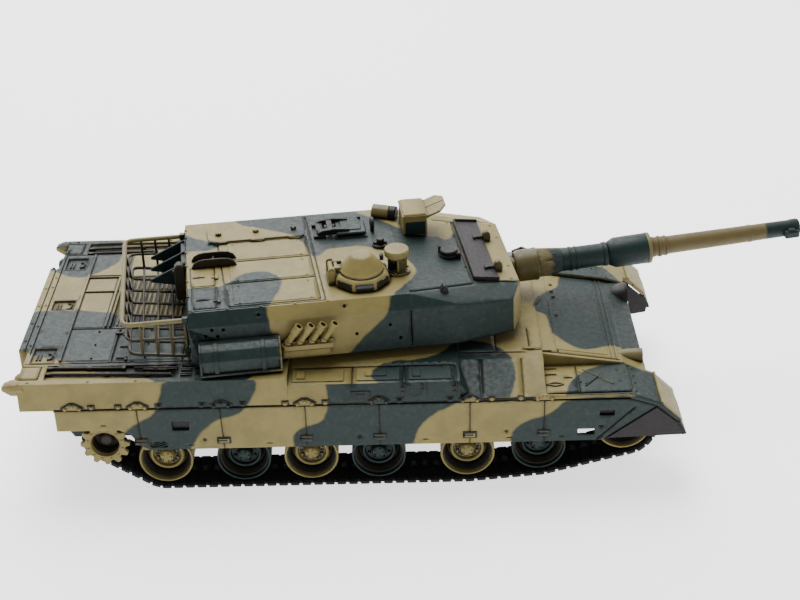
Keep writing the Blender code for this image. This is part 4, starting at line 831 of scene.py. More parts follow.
def tools(side):
    """Rods, clamps and a spade strapped in the tray on the sponson."""
    rod_z = ENGINE_Z - 0.35
    blade = [(-96, side * 58.6), (-84, side * 59.4), (-84, side * 55.6), (-96, side * 56)]
    parts = [
        pipe([(-139, side * 56, rod_z), (-105, side * 57, rod_z)], 0.75),
        pipe([(-139, side * 61, rod_z), (-82, side * 63, rod_z)], 0.75),
        pipe([(-100, side * 57, rod_z), (-82, side * 57.6, rod_z)], 0.6),
        block((-106, side * 55.6, rod_z - 1), (-104, side * 58, rod_z + 0.6)),
        block((-141, side * 55, rod_z - 1), (-138, side * 57, rod_z + 0.6)),
        block((-141, side * 60, rod_z - 1), (-138, side * 62, rod_z + 0.6)),
        prism(blade, "Z", rod_z - 0.9, rod_z + 0.2),
    ]
    for x, y in ((-121, 56.5), (-112, 61.9), (-93, 62.6), (-90, 57.4)):
        parts.append(turned(rod(-1, 1, 1.25), "X", (x, side * y, rod_z - 0.3), 14))
    return parts


def sponson_blocks(side):
    """Small boxes and notched strips on the fighting deck, beside the turret."""
    parts = []
    for x0, x1, y0, y1, h in (
        (-26, -2, 58, 68, 0.5), (4, 24, 58, 68, 0.5), (28, 48, 58, 68, 0.5), (-24, -20, 60, 66, 1.1),
        (30, 34, 60, 66, 1.0), (8, 18, 61, 65, 1.0),
    ):
        parts.append(block((x0, side * y0, DECK_Z - 0.3), (x1, side * y1, DECK_Z + h), 0.2))
    return parts


def side_marks(side):
    """Notched strips, a plate, a loop and drawn lines on the sponson's side."""
    y = side * (SKIRT_Y - 1.0)
    parts = []

    def wall(x0, x1, z0, z1, out=0.35):
        return block((x0, y - side * 0.8, z0), (x1, y + side * out, z1), 0.1)

    for x in (26.3, 50.2):
        parts.append(wall(x - 0.3, x + 0.3, 52.5, 60.6))
        for z in (53.2, 55.6, 58.0):
            parts.append(wall(x - 1.6, x, z, z + 0.9))
    parts.append(wall(36.6, 37.1, 52.2, 60.8))
    parts += [wall(1.1, 10.2, 56.6, 57.1), wall(1.1, 10.2, 52.1, 52.6), wall(1.1, 1.6, 52.1, 57.1)]
    parts += [wall(9.7, 10.2, 52.1, 57.1), wall(3.6, 7.6, 53.2, 55.6)]
    loop = [(28, y, 60.4), (28, y, 54), (34.4, y, 54), (34.4, y, 60.4)]
    parts.append(pipe(rounded(loop, 3), 0.35, 8))
    parts += bolts([(28, y, 59.5), (34.4, y, 59.5), (34.4, y, 57.4)], OUTWARD[side], 0.7)
    return parts


def skirt_brackets(side):
    """Hinge brackets over the skirt's seams, with single bolts between them, on black backings that paint
    their shadows, and a black strip that paints the shade in the seam under the sponson.
    """
    out = OUTWARD[side]
    y = side * (SKIRT_Y - 0.35)
    # painted shade: black backings round the brackets and bolts, and a black strip in the seam
    parts, dark = [], [block((-136.8, y - side * 1.0, 50.1), (130.6, y - side * 0.55, 50.9), 0)]
    for x in (-128.4,) + SEAMS:
        crest = 54.3 if x < DECK_END_X else 52.2
        backing = [
            (x - 5.4, 50.7), (x - 5.4, 52), (x - 1.2, crest), (x + 1.2, crest), (x + 5.4, 52),
            (x + 5.4, 50.7),
        ]
        dark.append(prism(backing, "Y", y - side * 0.5, y + side * 0.2, 0))
        points = [
            (x - 4.2, 50.6), (x - 4.2, 51.9), (x - 1, 53.6), (x + 1, 53.6), (x + 4.2, 51.9), (x + 4.2, 50.6)
        ]
        parts.append(prism(points, "Y", y - side * 0.6, y + side * 0.6, 0.15))
        parts += bolts(
            [(x + dx, y + side * 0.5, z) for dx, z in ((-3.3, 51.4), (0, 52.7), (3.3, 51.4))], out, 0.95, 0.9
        )
    for x in (-119.5, -107, -88.3, -68.1, -49.1, -29.4, -10.7, 23.6, 47.3, 66.6, 80):
        parts.append(block((x - 1.1, y - side * 0.4, 50.9), (x + 1.1, y + side * 0.35, 52.6), 0.15))
        parts.append(bolt((x, y + side * 0.35, 51.8), out, 0.95, 0.8))
        dark.append(block((x - 1.7, y - side * 0.5, 50.7), (x + 1.7, y + side * 0.15, 53.1), 0))
    return parts, dark


def skirt(name, side):
    """The skirt's plates with their seams, slots and a turned-in front edge."""
    y = side * SKIRT_Y
    inner, outer = y - side * 0.55, y + side * 1.0
    shape = cad_shape(f"side_skirt_{name}", HULL, 0.2)
    cuts = []
    for x in SEAMS:
        lean = -0.8 if x < -50 else 0.0
        seam = [(x - 0.25 + lean, 51), (x + 0.25 + lean, 51), (x + 0.25, 26), (x - 0.25, 26)]
        cuts.append(prism(seam, "Y", inner, outer, 0))
    for x, z in (
        (-74.9, 29.4), (-37.9, 29.6), (35.6, 29.8), (74.9, 29.7), (99.5, 29.7), (-115, 41.6), (117.9, 35.2)
    ):
        cuts.append(block((x - 1.2, inner, z - 0.3), (x + 1.2, outer, z + 0.3), 0))
    for x, z in ((-68.2, 32.6), (4.7, 32.6), (73.5, 33.5)):
        cuts.append(turned(rod(min(inner, outer), max(inner, outer), 0.9), "Y", (x, 0, z), 12))
    cuts.append(prism([(115.6, 27.8), (116.4, 27.4), (134, 45.6), (133.4, 46.2)], "Y", inner, outer, 0))
    piece(
        f"skirt_{name}", carved(shape, cuts), "hull", "camouflage", replaces=[f"side_skirt_{name}"], pitch=3.0
    )
    # painted shade: black plates inside the skirt, seen through its slots
    shade = []
    for x0, x1, z0, z1 in ((-84, -74, 37, 44), (116, 125, 40, 45)):
        shade.append(block((x0, y - side * 1.9, z0), (x1, y - side * 1.62, z1), 0))
    piece(f"slot_backs_{name}", merged(shade), "hull", "black")
    parts, dark = [], []
    # painted shadows: each latch sits on a black base a little larger than it, and the striped mark on a
    # black backing
    for x in SEAMS:
        dark.append(block((x - 3.3, y - side * 0.2, 30.0), (x + 3.3, y + side * 0.3, 33.8), 0.2))
        parts.append(block((x - 2.5, y + side * 0.1, 30.6), (x + 2.5, y + side * 0.65, 33.1), 0.25))
        dark.append(block((x - 3.3, y + side * 0.2, 31.7), (x + 1.6, y + side * 0.9, 32.2), 0.1))
    backing = [(-94.2, 32.3), (-86, 31.6), (-86, 27.7), (-92.6, 27.7), (-94.2, 30)]
    dark.append(prism(backing, "Y", y - side * 1.2, y - side * 0.7, 0))
    for i in range(3):
        place = Matrix.Translation((-89.8, y - side * 0.4, 28.8 + 1.2 * i)) @ Matrix.Rotation(-0.3, 4, "Y")
        parts.append(moved(block((-2.8, -0.5, -0.35), (2.8, 0.5, 0.35), 0.2), place))
    piece(
        f"skirt_latches_{name}", merged(parts), "hull", "camouflage", pitch=0, extra=[("black", merged(dark))]
    )


def mudguards(side):
    """Bolts, a pale rim and ribs on the front fender and its bent-down guard."""
    fold = []
    for x, y in (
        (109, 50.8), (108.9, 59.5), (111.6, 60.5), (126.9, 50.2), (127.4, 59.2), (130.3, 52.3), (134.4, 48),
        (134.4, 54), (134.4, 60), (134.2, 67),
    ):
        fold.append(bolt((x, side * y, FENDER_Z + (0.2 if x < 132 else -0.6)), "Z", 0.75))
    for x0, y0, x1, y1 in ((111, 48.9, 124, 62), (111, 63, 118, 55)):
        fold.append(pipe([(x0, side * y0, FENDER_Z + 0.2), (x1, side * y1, FENDER_Z + 0.4)], 0.5, 8))
    fold.append(block((145.2, side * 45.2, 46.4), (146.4, side * 71.3, 47.9), 0.3))
    fold.append(block((93, side * 70.2, FENDER_Z - 0.3), (132, side * 71.4, FENDER_Z + 0.9), 0.3))
    loop = [
        (92.8, side * 61.2, FENDER_Z + 0.4), (97, side * 59.6, FENDER_Z + 0.4),
        (101.2, side * 61.2, FENDER_Z + 0.4), (97, side * 62.8, FENDER_Z + 0.4),
        (92.8, side * 61.2, FENDER_Z + 0.4),
    ]
    fold.append(pipe(rounded(loop, 1.2), 0.35, 8))
    return fold


def glacis_parts():
    """The driver's hatch and periscope, the nose's ridges, a raised plate, bolts and edge strips."""
    lid = prism(ring_points(40, 11.6, (84, 8.4)), "Z", -1.2, 0.5, 0.2)
    parts = [laid_on_glacis(lid)]
    parts.append(block((76, 14, 60.6), (79, 18, 61.9), 0.4))
    for x in (126.2, 128.4):
        z = glacis_z(x)
        parts.append(block((x - 0.4, -43, z - 0.6), (x + 0.4, 42, z + 0.45), 0.15))
    tilt = Matrix.Rotation(math.atan2(7.7, 49), 4, "Y")
    plate = block((-9, -40, -0.5), (16.6, 40, 0.25), 0.3)
    parts.append(moved(plate, Matrix.Translation((108, 0, glacis_z(108))) @ tilt))
    for x, y in ((102, 22.3), (102, 15.3), (102.4, 10), (102.4, -7.7)):
        parts.append(bolt((x, y, glacis_z(x) + 0.2), "Z", 0.9, 0.9))
    for x in (83.5, 91.7):
        parts.append(block((x, -42.6, glacis_z(x) - 0.4), (x + 5, -41, glacis_z(x) + 0.4), 0.2))
    return parts


def laid_on_glacis(bm):
    """A flat shape moved up on to the glacis, whose height changes along X."""
    for vert in bm.verts:
        vert.co.z += glacis_z(vert.co.x)
    return bm


def splash_plate():
    """The raised plate with bolts along the far edge of the glacis, and a black strip under it that paints
    its shadow.
    """
    outline = [(104, 33), (118, 33), (131, 33), (142, 38.6), (143, 45), (131, 45), (118, 45), (104, 45)]
    # painted shadow under the plate's near edge and tip
    under = [
        (103, 32.3), (118, 32.3), (131, 32.3), (142.6, 38.1), (142.6, 41), (131, 36), (118, 36), (103, 36)
    ]
    plate = laid_on_glacis(prism(outline, "Z", 0.8, 2.0, 0.2))
    heads = [
        bolt((x, y, glacis_z(x) + 1.9), "Z", 0.75)
        for x, y in ((108, 42), (119, 41), (125.5, 42.4), (128.4, 43.6), (132.6, 35.4))
    ]
    return merged(plate, heads), laid_on_glacis(prism(under, "Z", -0.6, 0.9, 0))


def lamp_pod():
    """The rounded pod on the nose, on the far side, wide at the front, painted dark as shade."""
    profile = [
        (129.5, 0), (129.5, 1.4), (132, 4.0), (135, 6.0), (138.5, 7.4), (141.4, 7.9), (142, 7.7), (142, 6.8),
        (140.6, 6.2), (140.6, 0),
    ]
    shape = turned(profile, "X", (0, 26.5, 46.8), 40)
    return carved(shape, [block((120, 10, 30), (150, 40, 46.7), 0)])


def headlight(side):
    """A lamp's cone pointing forward, with its glass set in."""
    y = side * 36
    cone = turned(
        [
            (127.5, 0), (127.5, 1.4), (131, 2.6), (134, 3.3), (141.2, 3.5), (141.2, 3.0), (139.6, 2.8),
            (139.6, 0),
        ],
        "X", (0, y, 51.2), 28,
    )
    foot = block((130, y - 1.5, 46.5), (136, y + 1.5, 50), 0.3)
    return [cone, foot]


def rear_lamps(side):
    """A tapered lamp at the deck's corner, and a rounded one inboard of it."""
    return [
        turned(
            [(-160.6, 0), (-160.3, 1.0), (-156, 2.6), (-150, 3.0), (-150, 0)], "X", (0, side * 67.6, 61.4), 24
        ),
        turned(
            [(-157.4, 0), (-157, 2.4), (-155.6, 3.6), (-152, 3.8), (-152, 0)], "X", (0, side * 56, 57.4), 24
        ),
        block((-155.4, side * 47, 53), (-152.6, side * 62, 60.6), 0.8),
    ]


def rear_plate():
    """Ribs, hooks and exhaust louvres on the back of the hull."""
    x = -157.8
    louvres = []
    for side in SIDES.values():
        for i in range(7):
            slat = block((-0.6, -11, -0.35), (0.6, 11, 0.35), 0.15)
            place = Matrix.Translation((x - 0.3, side * 21, 50.4 + 1.8 * i)) @ Matrix.Rotation(0.5, 4, "Y")
            louvres.append(moved(slat, place))
    parts = [
        block((x - 0.7, -3, 48), (x + 0.5, 3, 63), 0.3),
        block((x - 0.7, -37, 47), (x + 0.5, 37, 48.4), 0.3),
    ]
    parts += bolts(
        [(x - 0.1, side * y, z) for side in (-1, 1) for y in (6, 35) for z in (49.6, 55.6, 61.6)], "-X", 0.8
    )
    for side in SIDES.values():
        hook = [
            (-150.6, side * 22, 41), (-155.6, side * 22, 41), (-156.6, side * 22, 37.4),
            (-152, side * 22, 36.6),
        ]
        parts.append(pipe(rounded(hook, 2), 1.0, 10))
        parts.append(block((-152.2, side * 19, 35.4), (-150.8, side * 25, 42.6), 0.3))
    return parts, louvres


def hull_pieces():
    """Every piece that rides on the hull, apart from the running gear."""
    hull_shell()
    piece("deck_panels", merged(deck_panels()), "hull", "camouflage", pitch=4.0)
    piece("deck_joints", merged(deck_lines()), "hull", "black")
    piece("deck_bolts", merged(deck_fittings()), "hull", "camouflage", pitch=0)
    piece("deck_handles", merged(pocket_handles()), "hull", "brown")
    piece("glacis_plates", merged(glacis_parts()), "hull", "camouflage", pitch=4.0)
    plate, shadow = splash_plate()
    piece("splash_plate", plate, "hull", "camouflage", extra=[("black", shadow)], pitch=4.0)
    ribs, louvres = rear_plate()
    piece("rear_ribs", merged(ribs), "hull", "camouflage", pitch=0)
    piece("rear_louvres", merged(louvres), "hull", "green")
    for name, side in SIDES.items():
        piece(f"stowed_tools_{name}", merged(tools(side)), "hull", "brown")
        piece(f"sponson_lids_{name}", merged(sponson_blocks(side)), "hull", "camouflage", pitch=4.0)
        piece(f"side_fittings_{name}", merged(side_marks(side)), "hull", "black")
        brackets, dark = skirt_brackets(side)
        piece(
            f"skirt_brackets_{name}", merged(brackets), "hull", "camouflage", pitch=0,
            extra=[("black", merged(dark))],
        )
        skirt(name, side)
        heads = [bolt((148.6, side * y, 43.3), "X", 0.8, 0.5) for y in (45.5, 52, 58.8, 66.2)]
        piece(
            f"fender_fittings_{name}", merged(mudguards(side)), "hull", "camouflage", pitch=4.0,
            extra=[("black", merged(heads))],
        )
        if side == RIGHT:
            lens = turned([(139.4, 0), (139.4, 2.9), (140.2, 2.4), (140.5, 0)], "X", (0, side * 36, 51.2), 24)
            piece("headlight_right", merged(headlight(side)), "hull", "rail", extra=[("glass", lens)])
        else:
            lens = turned([(140.2, 0), (140.2, 6.0), (141.2, 5.0), (141.6, 0)], "X", (0, 26.5, 46.8), 32)
            lens = carved(lens, [block((120, 10, 30), (150, 40, 46.8), 0)])
            # the far lamp pod takes the dark rubber look as painted shade, where the near lamp is tan
            piece("headlight_left", lamp_pod(), "hull", "flap", extra=[("glass", lens)])
        piece(f"rear_lamps_{name}", merged(rear_lamps(side)), "hull", "sand" if side == RIGHT else "green")
        flap = cad_shape(f"front_mudflap_{name}", HULL, 0.25)
        edge = pipe(
            [
                (122, side * 71.6, 28.8), (143.5, side * 71.6, 44.9), (152.9, side * 71.6, 36.4),
                (157.2, side * 71.6, 29.8),
            ],
            0.45, 8,
        )
        strip = [(142.6, 45.6), (143.6, 46.6), (154.6, 37.2), (153.4, 36.2)]
        fill = prism(strip, "Y", side * 69.6, side * 71.2, 0)
        piece(f"mudflap_{name}", merged(flap, edge, fill), "hull", "flap", replaces=[f"front_mudflap_{name}"])


# Running gear ---------------------------------------------------------------------------------

ROLLER_STEPS = 96
TRACK_LINKS = 104
HUB_BOLTS = 8
SPROCKET_TEETH = 12
# The part of a wheel's dish that lies in shadow, as radii.
DISH_LOW, DISH_HIGH = 8.9, 11.6


def around(points):
    """The points on the outside of a set, anticlockwise."""
    points = sorted(points)
    loop = []
    for run in (points, points[::-1]):
        half = []
        for p in run:
            while len(half) > 1 and (
                (half[-1][0] - half[-2][0]) * (p[1] - half[-2][1])
                - (half[-1][1] - half[-2][1]) * (p[0] - half[-2][0])
            ) <= 0:
                half.pop()
            half.append(p)
        loop += half[:-1]
    return loop


def belt(stand_off):
    """The loop round the sprocket, the idler and the road wheels, at a distance from them all."""
    rollers = [(*SPROCKET[:2], SPROCKET_DRUM), IDLER] + [
        (x, z, WHEEL_RADIUS) for x, z in zip(WHEEL_X, WHEEL_Z)
    ]
    points = set()
    for x, z, radius in rollers:
        for px, pz in ring_points(ROLLER_STEPS, radius + stand_off, (x, z)):
            points.add((round(px, 4), round(pz, 4)))
    return around(points)


def spaced(loop, count):
    """Points evenly spread along a closed loop, with the direction of travel at each."""
    points = [Vector(p) for p in loop]
    lengths = [(points[(i + 1) % len(points)] - p).length for i, p in enumerate(points)]
    pitch = sum(lengths) / count
    found, edge, used = [], 0, 0.0
    for k in range(count):
        want = k * pitch
        while used + lengths[edge] < want:
            used += lengths[edge]
            edge += 1
        a, b = points[edge], points[(edge + 1) % len(points)]
        found.append((a + (b - a) * ((want - used) / lengths[edge]), (b - a).normalized()))
    return found, pitch


def track(name, side):
    """Linked pads with grousers outside, guide horns inside and connectors at both edges."""
    links, pitch = spaced(belt(TRACK_GAP + TRACK_THICKNESS), TRACK_LINKS)
    shapes = []
    for (x, z), along in links:
        normal = Vector((along[1], -along[0]))
        frame_x = Vector((along[0], 0, along[1]))
        frame_z = Vector((normal[0], 0, normal[1]))
        turn = Matrix((frame_x, Vector((0, 1, 0)), frame_z)).transposed().to_4x4()
        half = pitch / 2
        # in a link's own frame Z points outward, and its outer face is at 0
        parts = [
            block((-half + 0.5, 44.2, -2.7), (half - 0.5, 65.8, -0.9), 0.3),
            block((-half + 0.9, 44.6, -1.2), (half - 2.3, 54.4, 0), 0.3),
            block((-half + 0.9, 55.6, -1.2), (half - 2.3, 65.4, 0), 0.3),
            block((-half - 0.2, 43.1, -2.4), (half - 1.6, 44.9, -0.5), 0.3),
            block((-half - 0.2, 65.1, -2.4), (half - 1.6, 66.9, -0.5), 0.3),
            drum(0.75, "Y", 43.6, 66.4, (half, 0, -1.9), 8, 0.1),
        ]
        horn = prism([(-1.7, -2.6), (1.7, -2.6), (0.6, -5.6), (-0.6, -5.6)], "Y", 54.4, 56.0, 0.2)
        parts.append(horn)
        link = merged(*parts)
        if side < 0:
            moved(link, Matrix.Scale(-1, 4, (0, 1, 0)))
        else:
            bmesh.ops.reverse_faces(link, faces=link.faces)
        shapes.append(moved(link, Matrix.Translation((x, 0, z)) @ turn))
    piece(f"track_links_{name}", merged(shapes), "hull", "track", replaces=[f"track_{name}"])


def along_y(profile, side, centre, steps=40):
    """A profile turned about a wheel's axle, from the middle of the hull outward."""
    return turned([(side * a, r) for a, r in profile], "Y", (centre[0], 0, centre[1]), steps)


def wheel_shapes(side, centre):
    """A pressed double disc: a thin rim, a deep dish, a centre whose holes are black discs of painted shade,
    and a hub cap.
    """
    inner, outer = WHEEL_INNER, WHEEL_OUTER
    profile = [
        (inner + 0.2, 2.5), (inner + 0.2, 3.2), (inner, 8), (inner, 12.5), (inner + 0.5, 13), (inner + 7, 13),
        (inner + 7.5, 12.5), (inner + 7.5, 9.5), (inner + 11.5, 9.5), (inner + 11.5, 12.5), (inner + 12, 13),
        (outer - 0.4, 13), (outer, 12.8), (outer, 12.1), (outer - 0.6, 11.9), (outer - 1.8, 11.8),
        (outer - 2.2, 11.2), (outer - 6.8, 9.6), (outer - 7.2, 8.6), (outer - 4.4, 8.3), (outer - 3.8, 7.7),
        (outer - 4.0, 6.9), (outer - 5.4, 6.4), (outer - 5.6, 3.8), (outer - 3.2, 3.4), (outer - 2.2, 2.9),
        (outer - 1.8, 1.6), (outer - 1.6, 0),
    ]
    disc = along_y(profile, side, centre)
    out = OUTWARD[side]
    heads = [
        bolt((x, side * (outer - 5.6), z), out, 0.75, 1.2)
        for x, z in ring_points(HUB_BOLTS, 5.1, centre, 0.5)
    ]
    heads += [
        bolt((x, side * (outer - 2.0), z), out, 0.4, 0.5, 8) for x, z in ring_points(5, 2.2, centre)
    ]
    # painted shade: black discs stand in the centre's holes
    holes = [
        drum(0.95, "Y", side * (outer - 6.4), side * (outer - 5.4), (x, 0, z), 12, 0.1)
        for x, z in ring_points(HUB_BOLTS, 5.1, centre)
    ]
    return disc, heads, holes


def in_dish(side, centre):
    """A test for faces of a wheel's dish, which lies in shadow and is painted darker."""
    def test(face):
        reach = math.hypot(face.x - centre[0], face.z - centre[1])
        return DISH_LOW < reach < DISH_HIGH and side * face.y > WHEEL_INNER + 12
    return test


def running_gear():
    """Tracks, road wheels, idlers and sprockets."""
    for name, side in SIDES.items():
        track(name, side)
        for i, centre in enumerate(zip(WHEEL_X, WHEEL_Z)):
            wheel = f"road_wheel_{name}_{i + 1}"
            disc, heads, holes = wheel_shapes(side, centre)
            look = "green" if i % 2 else "sand"
            piece(
                f"wheel_{name}_{i + 1}", merged(disc, heads), "hull", look, wheel, [wheel],
                [("black", merged(holes))], tint=("shade", in_dish(side, centre)),
            )
            KEPT_NODES[f"swing_arm_{name}_{i + 1}"] = "black"
        wheel = f"idler_wheel_{name}"
        disc, heads, holes = wheel_shapes(side, IDLER[:2])
        piece(
            f"idler_{name}", merged(disc, heads), "hull", "sand", wheel, [wheel],
            [("black", merged(holes))], tint=("shade", in_dish(side, IDLER[:2])),
        )
        sprocket(name, side)


def sprocket(name, side):
    """A drum under the track, and a toothed and bolted ring outside it round a dished centre painted dark as
    shade.
    """
    x, z, radius = SPROCKET
    outline = []
    for i in range(SPROCKET_TEETH):
        for share, reach in (
            (-0.15, radius), (0.15, radius), (0.24, radius - 1.0), (0.36, radius - 2.1), (0.5, radius - 2.4),
            (0.64, radius - 2.1), (0.76, radius - 1.0),
        ):
            angle = math.tau * (i + share) / SPROCKET_TEETH
            outline.append((x + reach * math.cos(angle), z + reach * math.sin(angle)))
    near, far = TRACK_OUTER + TRACK_GAP, TRACK_OUTER + TRACK_GAP + 2.0
    ring = carved(
        prism(outline, "Y", side * near, side * far, 0.25),
        [along_y(rod(near - 1, far + 1, 7.3), side, (x, z))],
    )
    shapes = [
        ring,
        along_y([(46, 0), (46, 8.2), (66.9, 8.2), (68.3, 7.7), (68.9, 7.5), (69.4, 7.3), (69.4, 6.9),
                 (67, 6.5), (62.6, 5.8), (62.2, 3.4), (65.2, 3.0), (65.8, 2.2), (65.8, 0)], side, (x, z)),
        along_y(rod(30, 50, 2.4), side, (x, z), 20),
    ]
    out = OUTWARD[side]
    for px, pz in ring_points(SPROCKET_TEETH, 8.3, (x, z), 0.5):
        shapes.append(bolt((px, side * (far - 0.1), pz), out, 0.55, 0.5))
    wheel = f"drive_sprocket_{name}"

    # the dished centre takes the painted shade
    def in_centre(face):
        return math.hypot(face.x - x, face.z - z) < 6.7 and side * face.y > 60 and side * face.y < 67.6
    piece(f"sprocket_{name}", merged(shapes), "hull", "sand", wheel, [wheel], tint=("shade", in_centre))


# Turret ---------------------------------------------------------------------------------------


def roof_z(x):
    """The height of the turret's roof at x."""
    return ROOF_Z + max(0.0, x - ROOF_BREAK) * ROOF_SLOPE


def roof_line(a, b, **how):
    """A groove along the roof, level or sloping."""
    return groove(a, b, roof_z(a[0]), drop=roof_z(b[0]) - roof_z(a[0]), **how)


def turret_cuts():
    """The cutters for the roof's panel lines and slots and the walls' slots and holes."""
    cuts = []
    for a, b in (
        ((-73, -43.4), (-9.4, -43.4)), ((-9.4, -43.4), (-12, 42.6)), ((-57.4, 21), (-54.6, -42.2)),
        ((-54.6, -42.2), (-11.4, -42.2)), ((-11.4, -42.2), (-13.4, 21)), ((-62, 20.8), (-13, 20.8)),
        ((-50, 0.75), (-12.6, 0.75)), ((-55, -20.5), (-12, -20.5)),
    ):
        cuts.append(groove(a, b, ROOF_Z, 0.5, 0.8))
    for x0, x1, y0, y1 in ((-71.4, -59.8, -20.6, -2.6), (-71, -59.6, -41.8, -21.8)):
        cuts += frame_lines(x0, x1, y0, y1, ROOF_Z, width=0.4, depth=0.6)
    for x0, x1, y in ((-70.2, -64.6, -12), (-69, -63.2, -34)):
        cuts.append(block((x0, y - 0.5, ROOF_Z - 1), (x1, y + 0.5, ROOF_Z + 2), 0))
    cuts.append(roof_line((30.2, -43), (62.6, -34), width=0.5))
    cuts.append(roof_line((62.6, -34), (62.2, 31), width=0.7, depth=0.8))
    cuts.append(roof_line((52.8, 32.2), (62, 31), width=0.5))
    cuts.append(roof_line((66, -32.4), (84, -31), width=0.5))
    cuts.append(roof_line((66, 32.4), (84, 31), width=0.5))
    for side in SIDES.values():
        wall = sorted((side * 47.6, side * 56))
        cuts.append(block((29.8, wall[0], 66.5), (30.3, wall[1], 84.6), 0))
        for x, y, z in ((4, 49.3, 75), (20, 49.2, 78), (24.6, 50.3, 71), (-26, 50, 68.4)):
            cuts.append(turned(rod(y * side - 1.5, y * side + 3, 0.85), "Y", (x, 0, z), 12))
        for x, z in ((-41, 88), (-1, 88.4), (-66, 80.6), (-60.6, 80), (-63, 83.4), (-57.8, 83)):
            y = side * 47.5
            cuts.append(turned(rod(y - 2.5, y + 3, 0.85), "Y", (x, 0, z), 12))
    return cuts


def roof_details():
    """The stowage strip with its knobs, clips, latches and rows of small bolts."""
    top = ROOF_Z - 0.2
    parts = [prism([(-62.5, 35.7), (-61.7, 21.6), (-13.8, 21.6), (-12.9, 34.6)], "Z", top, top + 1.1)]
    parts += [
        drum(1.5, "Z", top, top + 2.6, (x, y, 0), 16, 0.4)
        for x, y in ((-56.6, 28.6), (-37.8, 29.1), (-18.8, 29))
    ]
    for x in (-56, -37.3, -18.4):
        parts.append(block((x - 2.4, 19.6, top), (x + 2.4, 21.4, top + 1.0), 0.3))
        parts.append(drum(0.7, "X", x - 3.4, x + 3.4, (0, 20.6, top + 0.9), 10, 0.2))
    for x, y in ((-59, -12.9), (-58.6, -35.5)):
        parts.append(block((x - 2.6, y - 0.5, top), (x + 0.6, y + 0.6, top + 0.7), 0.2))
        parts.append(block((x - 0.7, y - 2.2, top), (x + 0.7, y + 2.2, top + 1.0), 0.2))
    for x0, x1, y0, y1 in ((-52.5, -14.5, 2.6, 18.8), (-52.5, -14, -18.8, -1.2), (-52, -13.4, -40.4, -22.4)):
        parts.append(block((x0, y0, top), (x1, y1, top + 0.45), 0.2))
    places = [(-73.0, y) for y in (38, 29.8, 14.5, 0.5, -14.7, -29.5)]
    places += [(x, -44.1) for x in (-71, -55.1, -39.7, -23.6, -8.6)]
    places += [(x, 18) for x in (-50, -18)] + [(x, -2.2) for x in (-50, -17)] + [(x, 3.2) for x in (-50, -17)]
    places += [(x, -17.6) for x in (-49, -16)] + [(x, -23.6) for x in (-49, -16)] + [
        (x, -39.6) for x in (-49, -15.6)
    ]
    parts += bolts([(x, y, ROOF_Z + 0.1) for x, y in places], radius=0.65)
    places = ((31, -41), (45, -37.6), (61, -33.4), (82, -28), (82, 28), (60, 30), (83, -15), (83, 15))
    parts += bolts([(x, y, roof_z(x) - 0.05) for x, y in places], radius=0.7)
    return parts


def arched_plates():
    """Two arched plates, joined at their foot and by a rod."""
    shapes = []
    for y in (-2.9, 4.1):
        outline = [
            (-70.6, ROOF_Z - 0.3), (-70.6, 91.6), (-69.4, 93.8), (-66.8, 95.2), (-64, 95.6), (-56, 95.6),
            (-52.4, 95.2), (-50, 93.8), (-48.8, 91.6), (-48.8, ROOF_Z - 0.3),
        ]
        shapes.append(prism(outline, "Y", y, y + 0.9, 0.2))
    shapes.append(block((-69, -2, ROOF_Z - 0.3), (-50.4, 4.2, ROOF_Z + 0.5), 0.2))
    shapes.append(drum(0.8, "Y", -2.4, 4.4, (-60, 0, 93.2), 12))
    return shapes


def hatch_frames():
    """Dark hinge arms and a rim round the gunner's hatchway."""
    shapes = [
        block((-9.4, 17.2, ROOF_Z - 0.2), (-3.2, 19.6, ROOF_Z + 1.5), 0.3),
        block((-9.4, 29.4, ROOF_Z - 0.2), (-3.2, 31.8, ROOF_Z + 1.5), 0.3),
    ]
    for x0, x1, y0, y1 in (
        (1.2, 2.2, 15.6, 32.4), (16.4, 17.4, 15.6, 32.4), (1.2, 17.4, 14.9, 16.1), (1.2, 17.4, 31.9, 33.1)
    ):
        shapes.append(block((x0, y0, ROOF_Z - 0.2), (x1, y1, ROOF_Z + 0.5), 0.15))
    return shapes


def small_roof_fittings():
    """Dark things on the roof: an upright disc, a ring mount, a round periscope and a wedge."""
    z = roof_z(55)
    shapes = [
        turned(
            [(19.6, 0), (19.6, 3.0), (20, 3.5), (21, 3.5), (21.4, 3.0), (21.4, 0)], "X", (0, 22.4, 94.3), 28
        ),
        block((19.6, 20.9, ROOF_Z - 0.2), (21.4, 23.9, 93), 0.3),
        turned([(ROOF_Z - 0.2, 3.1), (ROOF_Z - 0.2, 3.9), (92.2, 3.9), (92.2, 3.1)], "Z", (22.3, 5.1, 0), 24),
        drum(1.3, "Z", ROOF_Z - 0.2, 94.2, (22.3, 5.1, 0), 14, 0.4),
        drum(2.0, "Z", 93.2, 95.0, (22.6, 5.1, 0), 16, 0.4),
        block((18.9, 4.3, 91.6), (25.8, 5.9, 93.2), 0.3),
        turned(
            [
                (z - 1, 0), (z - 1, 5.0), (z + 1.2, 5.0), (z + 1.8, 4.5), (z + 3.4, 4.5), (z + 3.8, 4.0),
                (z + 3.8, 0),
            ],
            "Z", (55, -5.6, 0), 32,
        ),
        block((50.2, -4.6, z - 0.5), (51.4, -2.4, z + 4.6), 0.3),
        block((58, -9.4, z - 1), (60.6, -3, z + 2.6), 0.4),
    ]
    wedge = prism([(44.2, 0), (49.4, 0), (48.6, 3.4), (47, 5.4), (45.6, 3.4)], "Y", -2.2, 2.2, 0.5)
    shapes.append(moved(wedge, Matrix.Translation((0, -40.2, roof_z(46) - 2.2))))
    return shapes


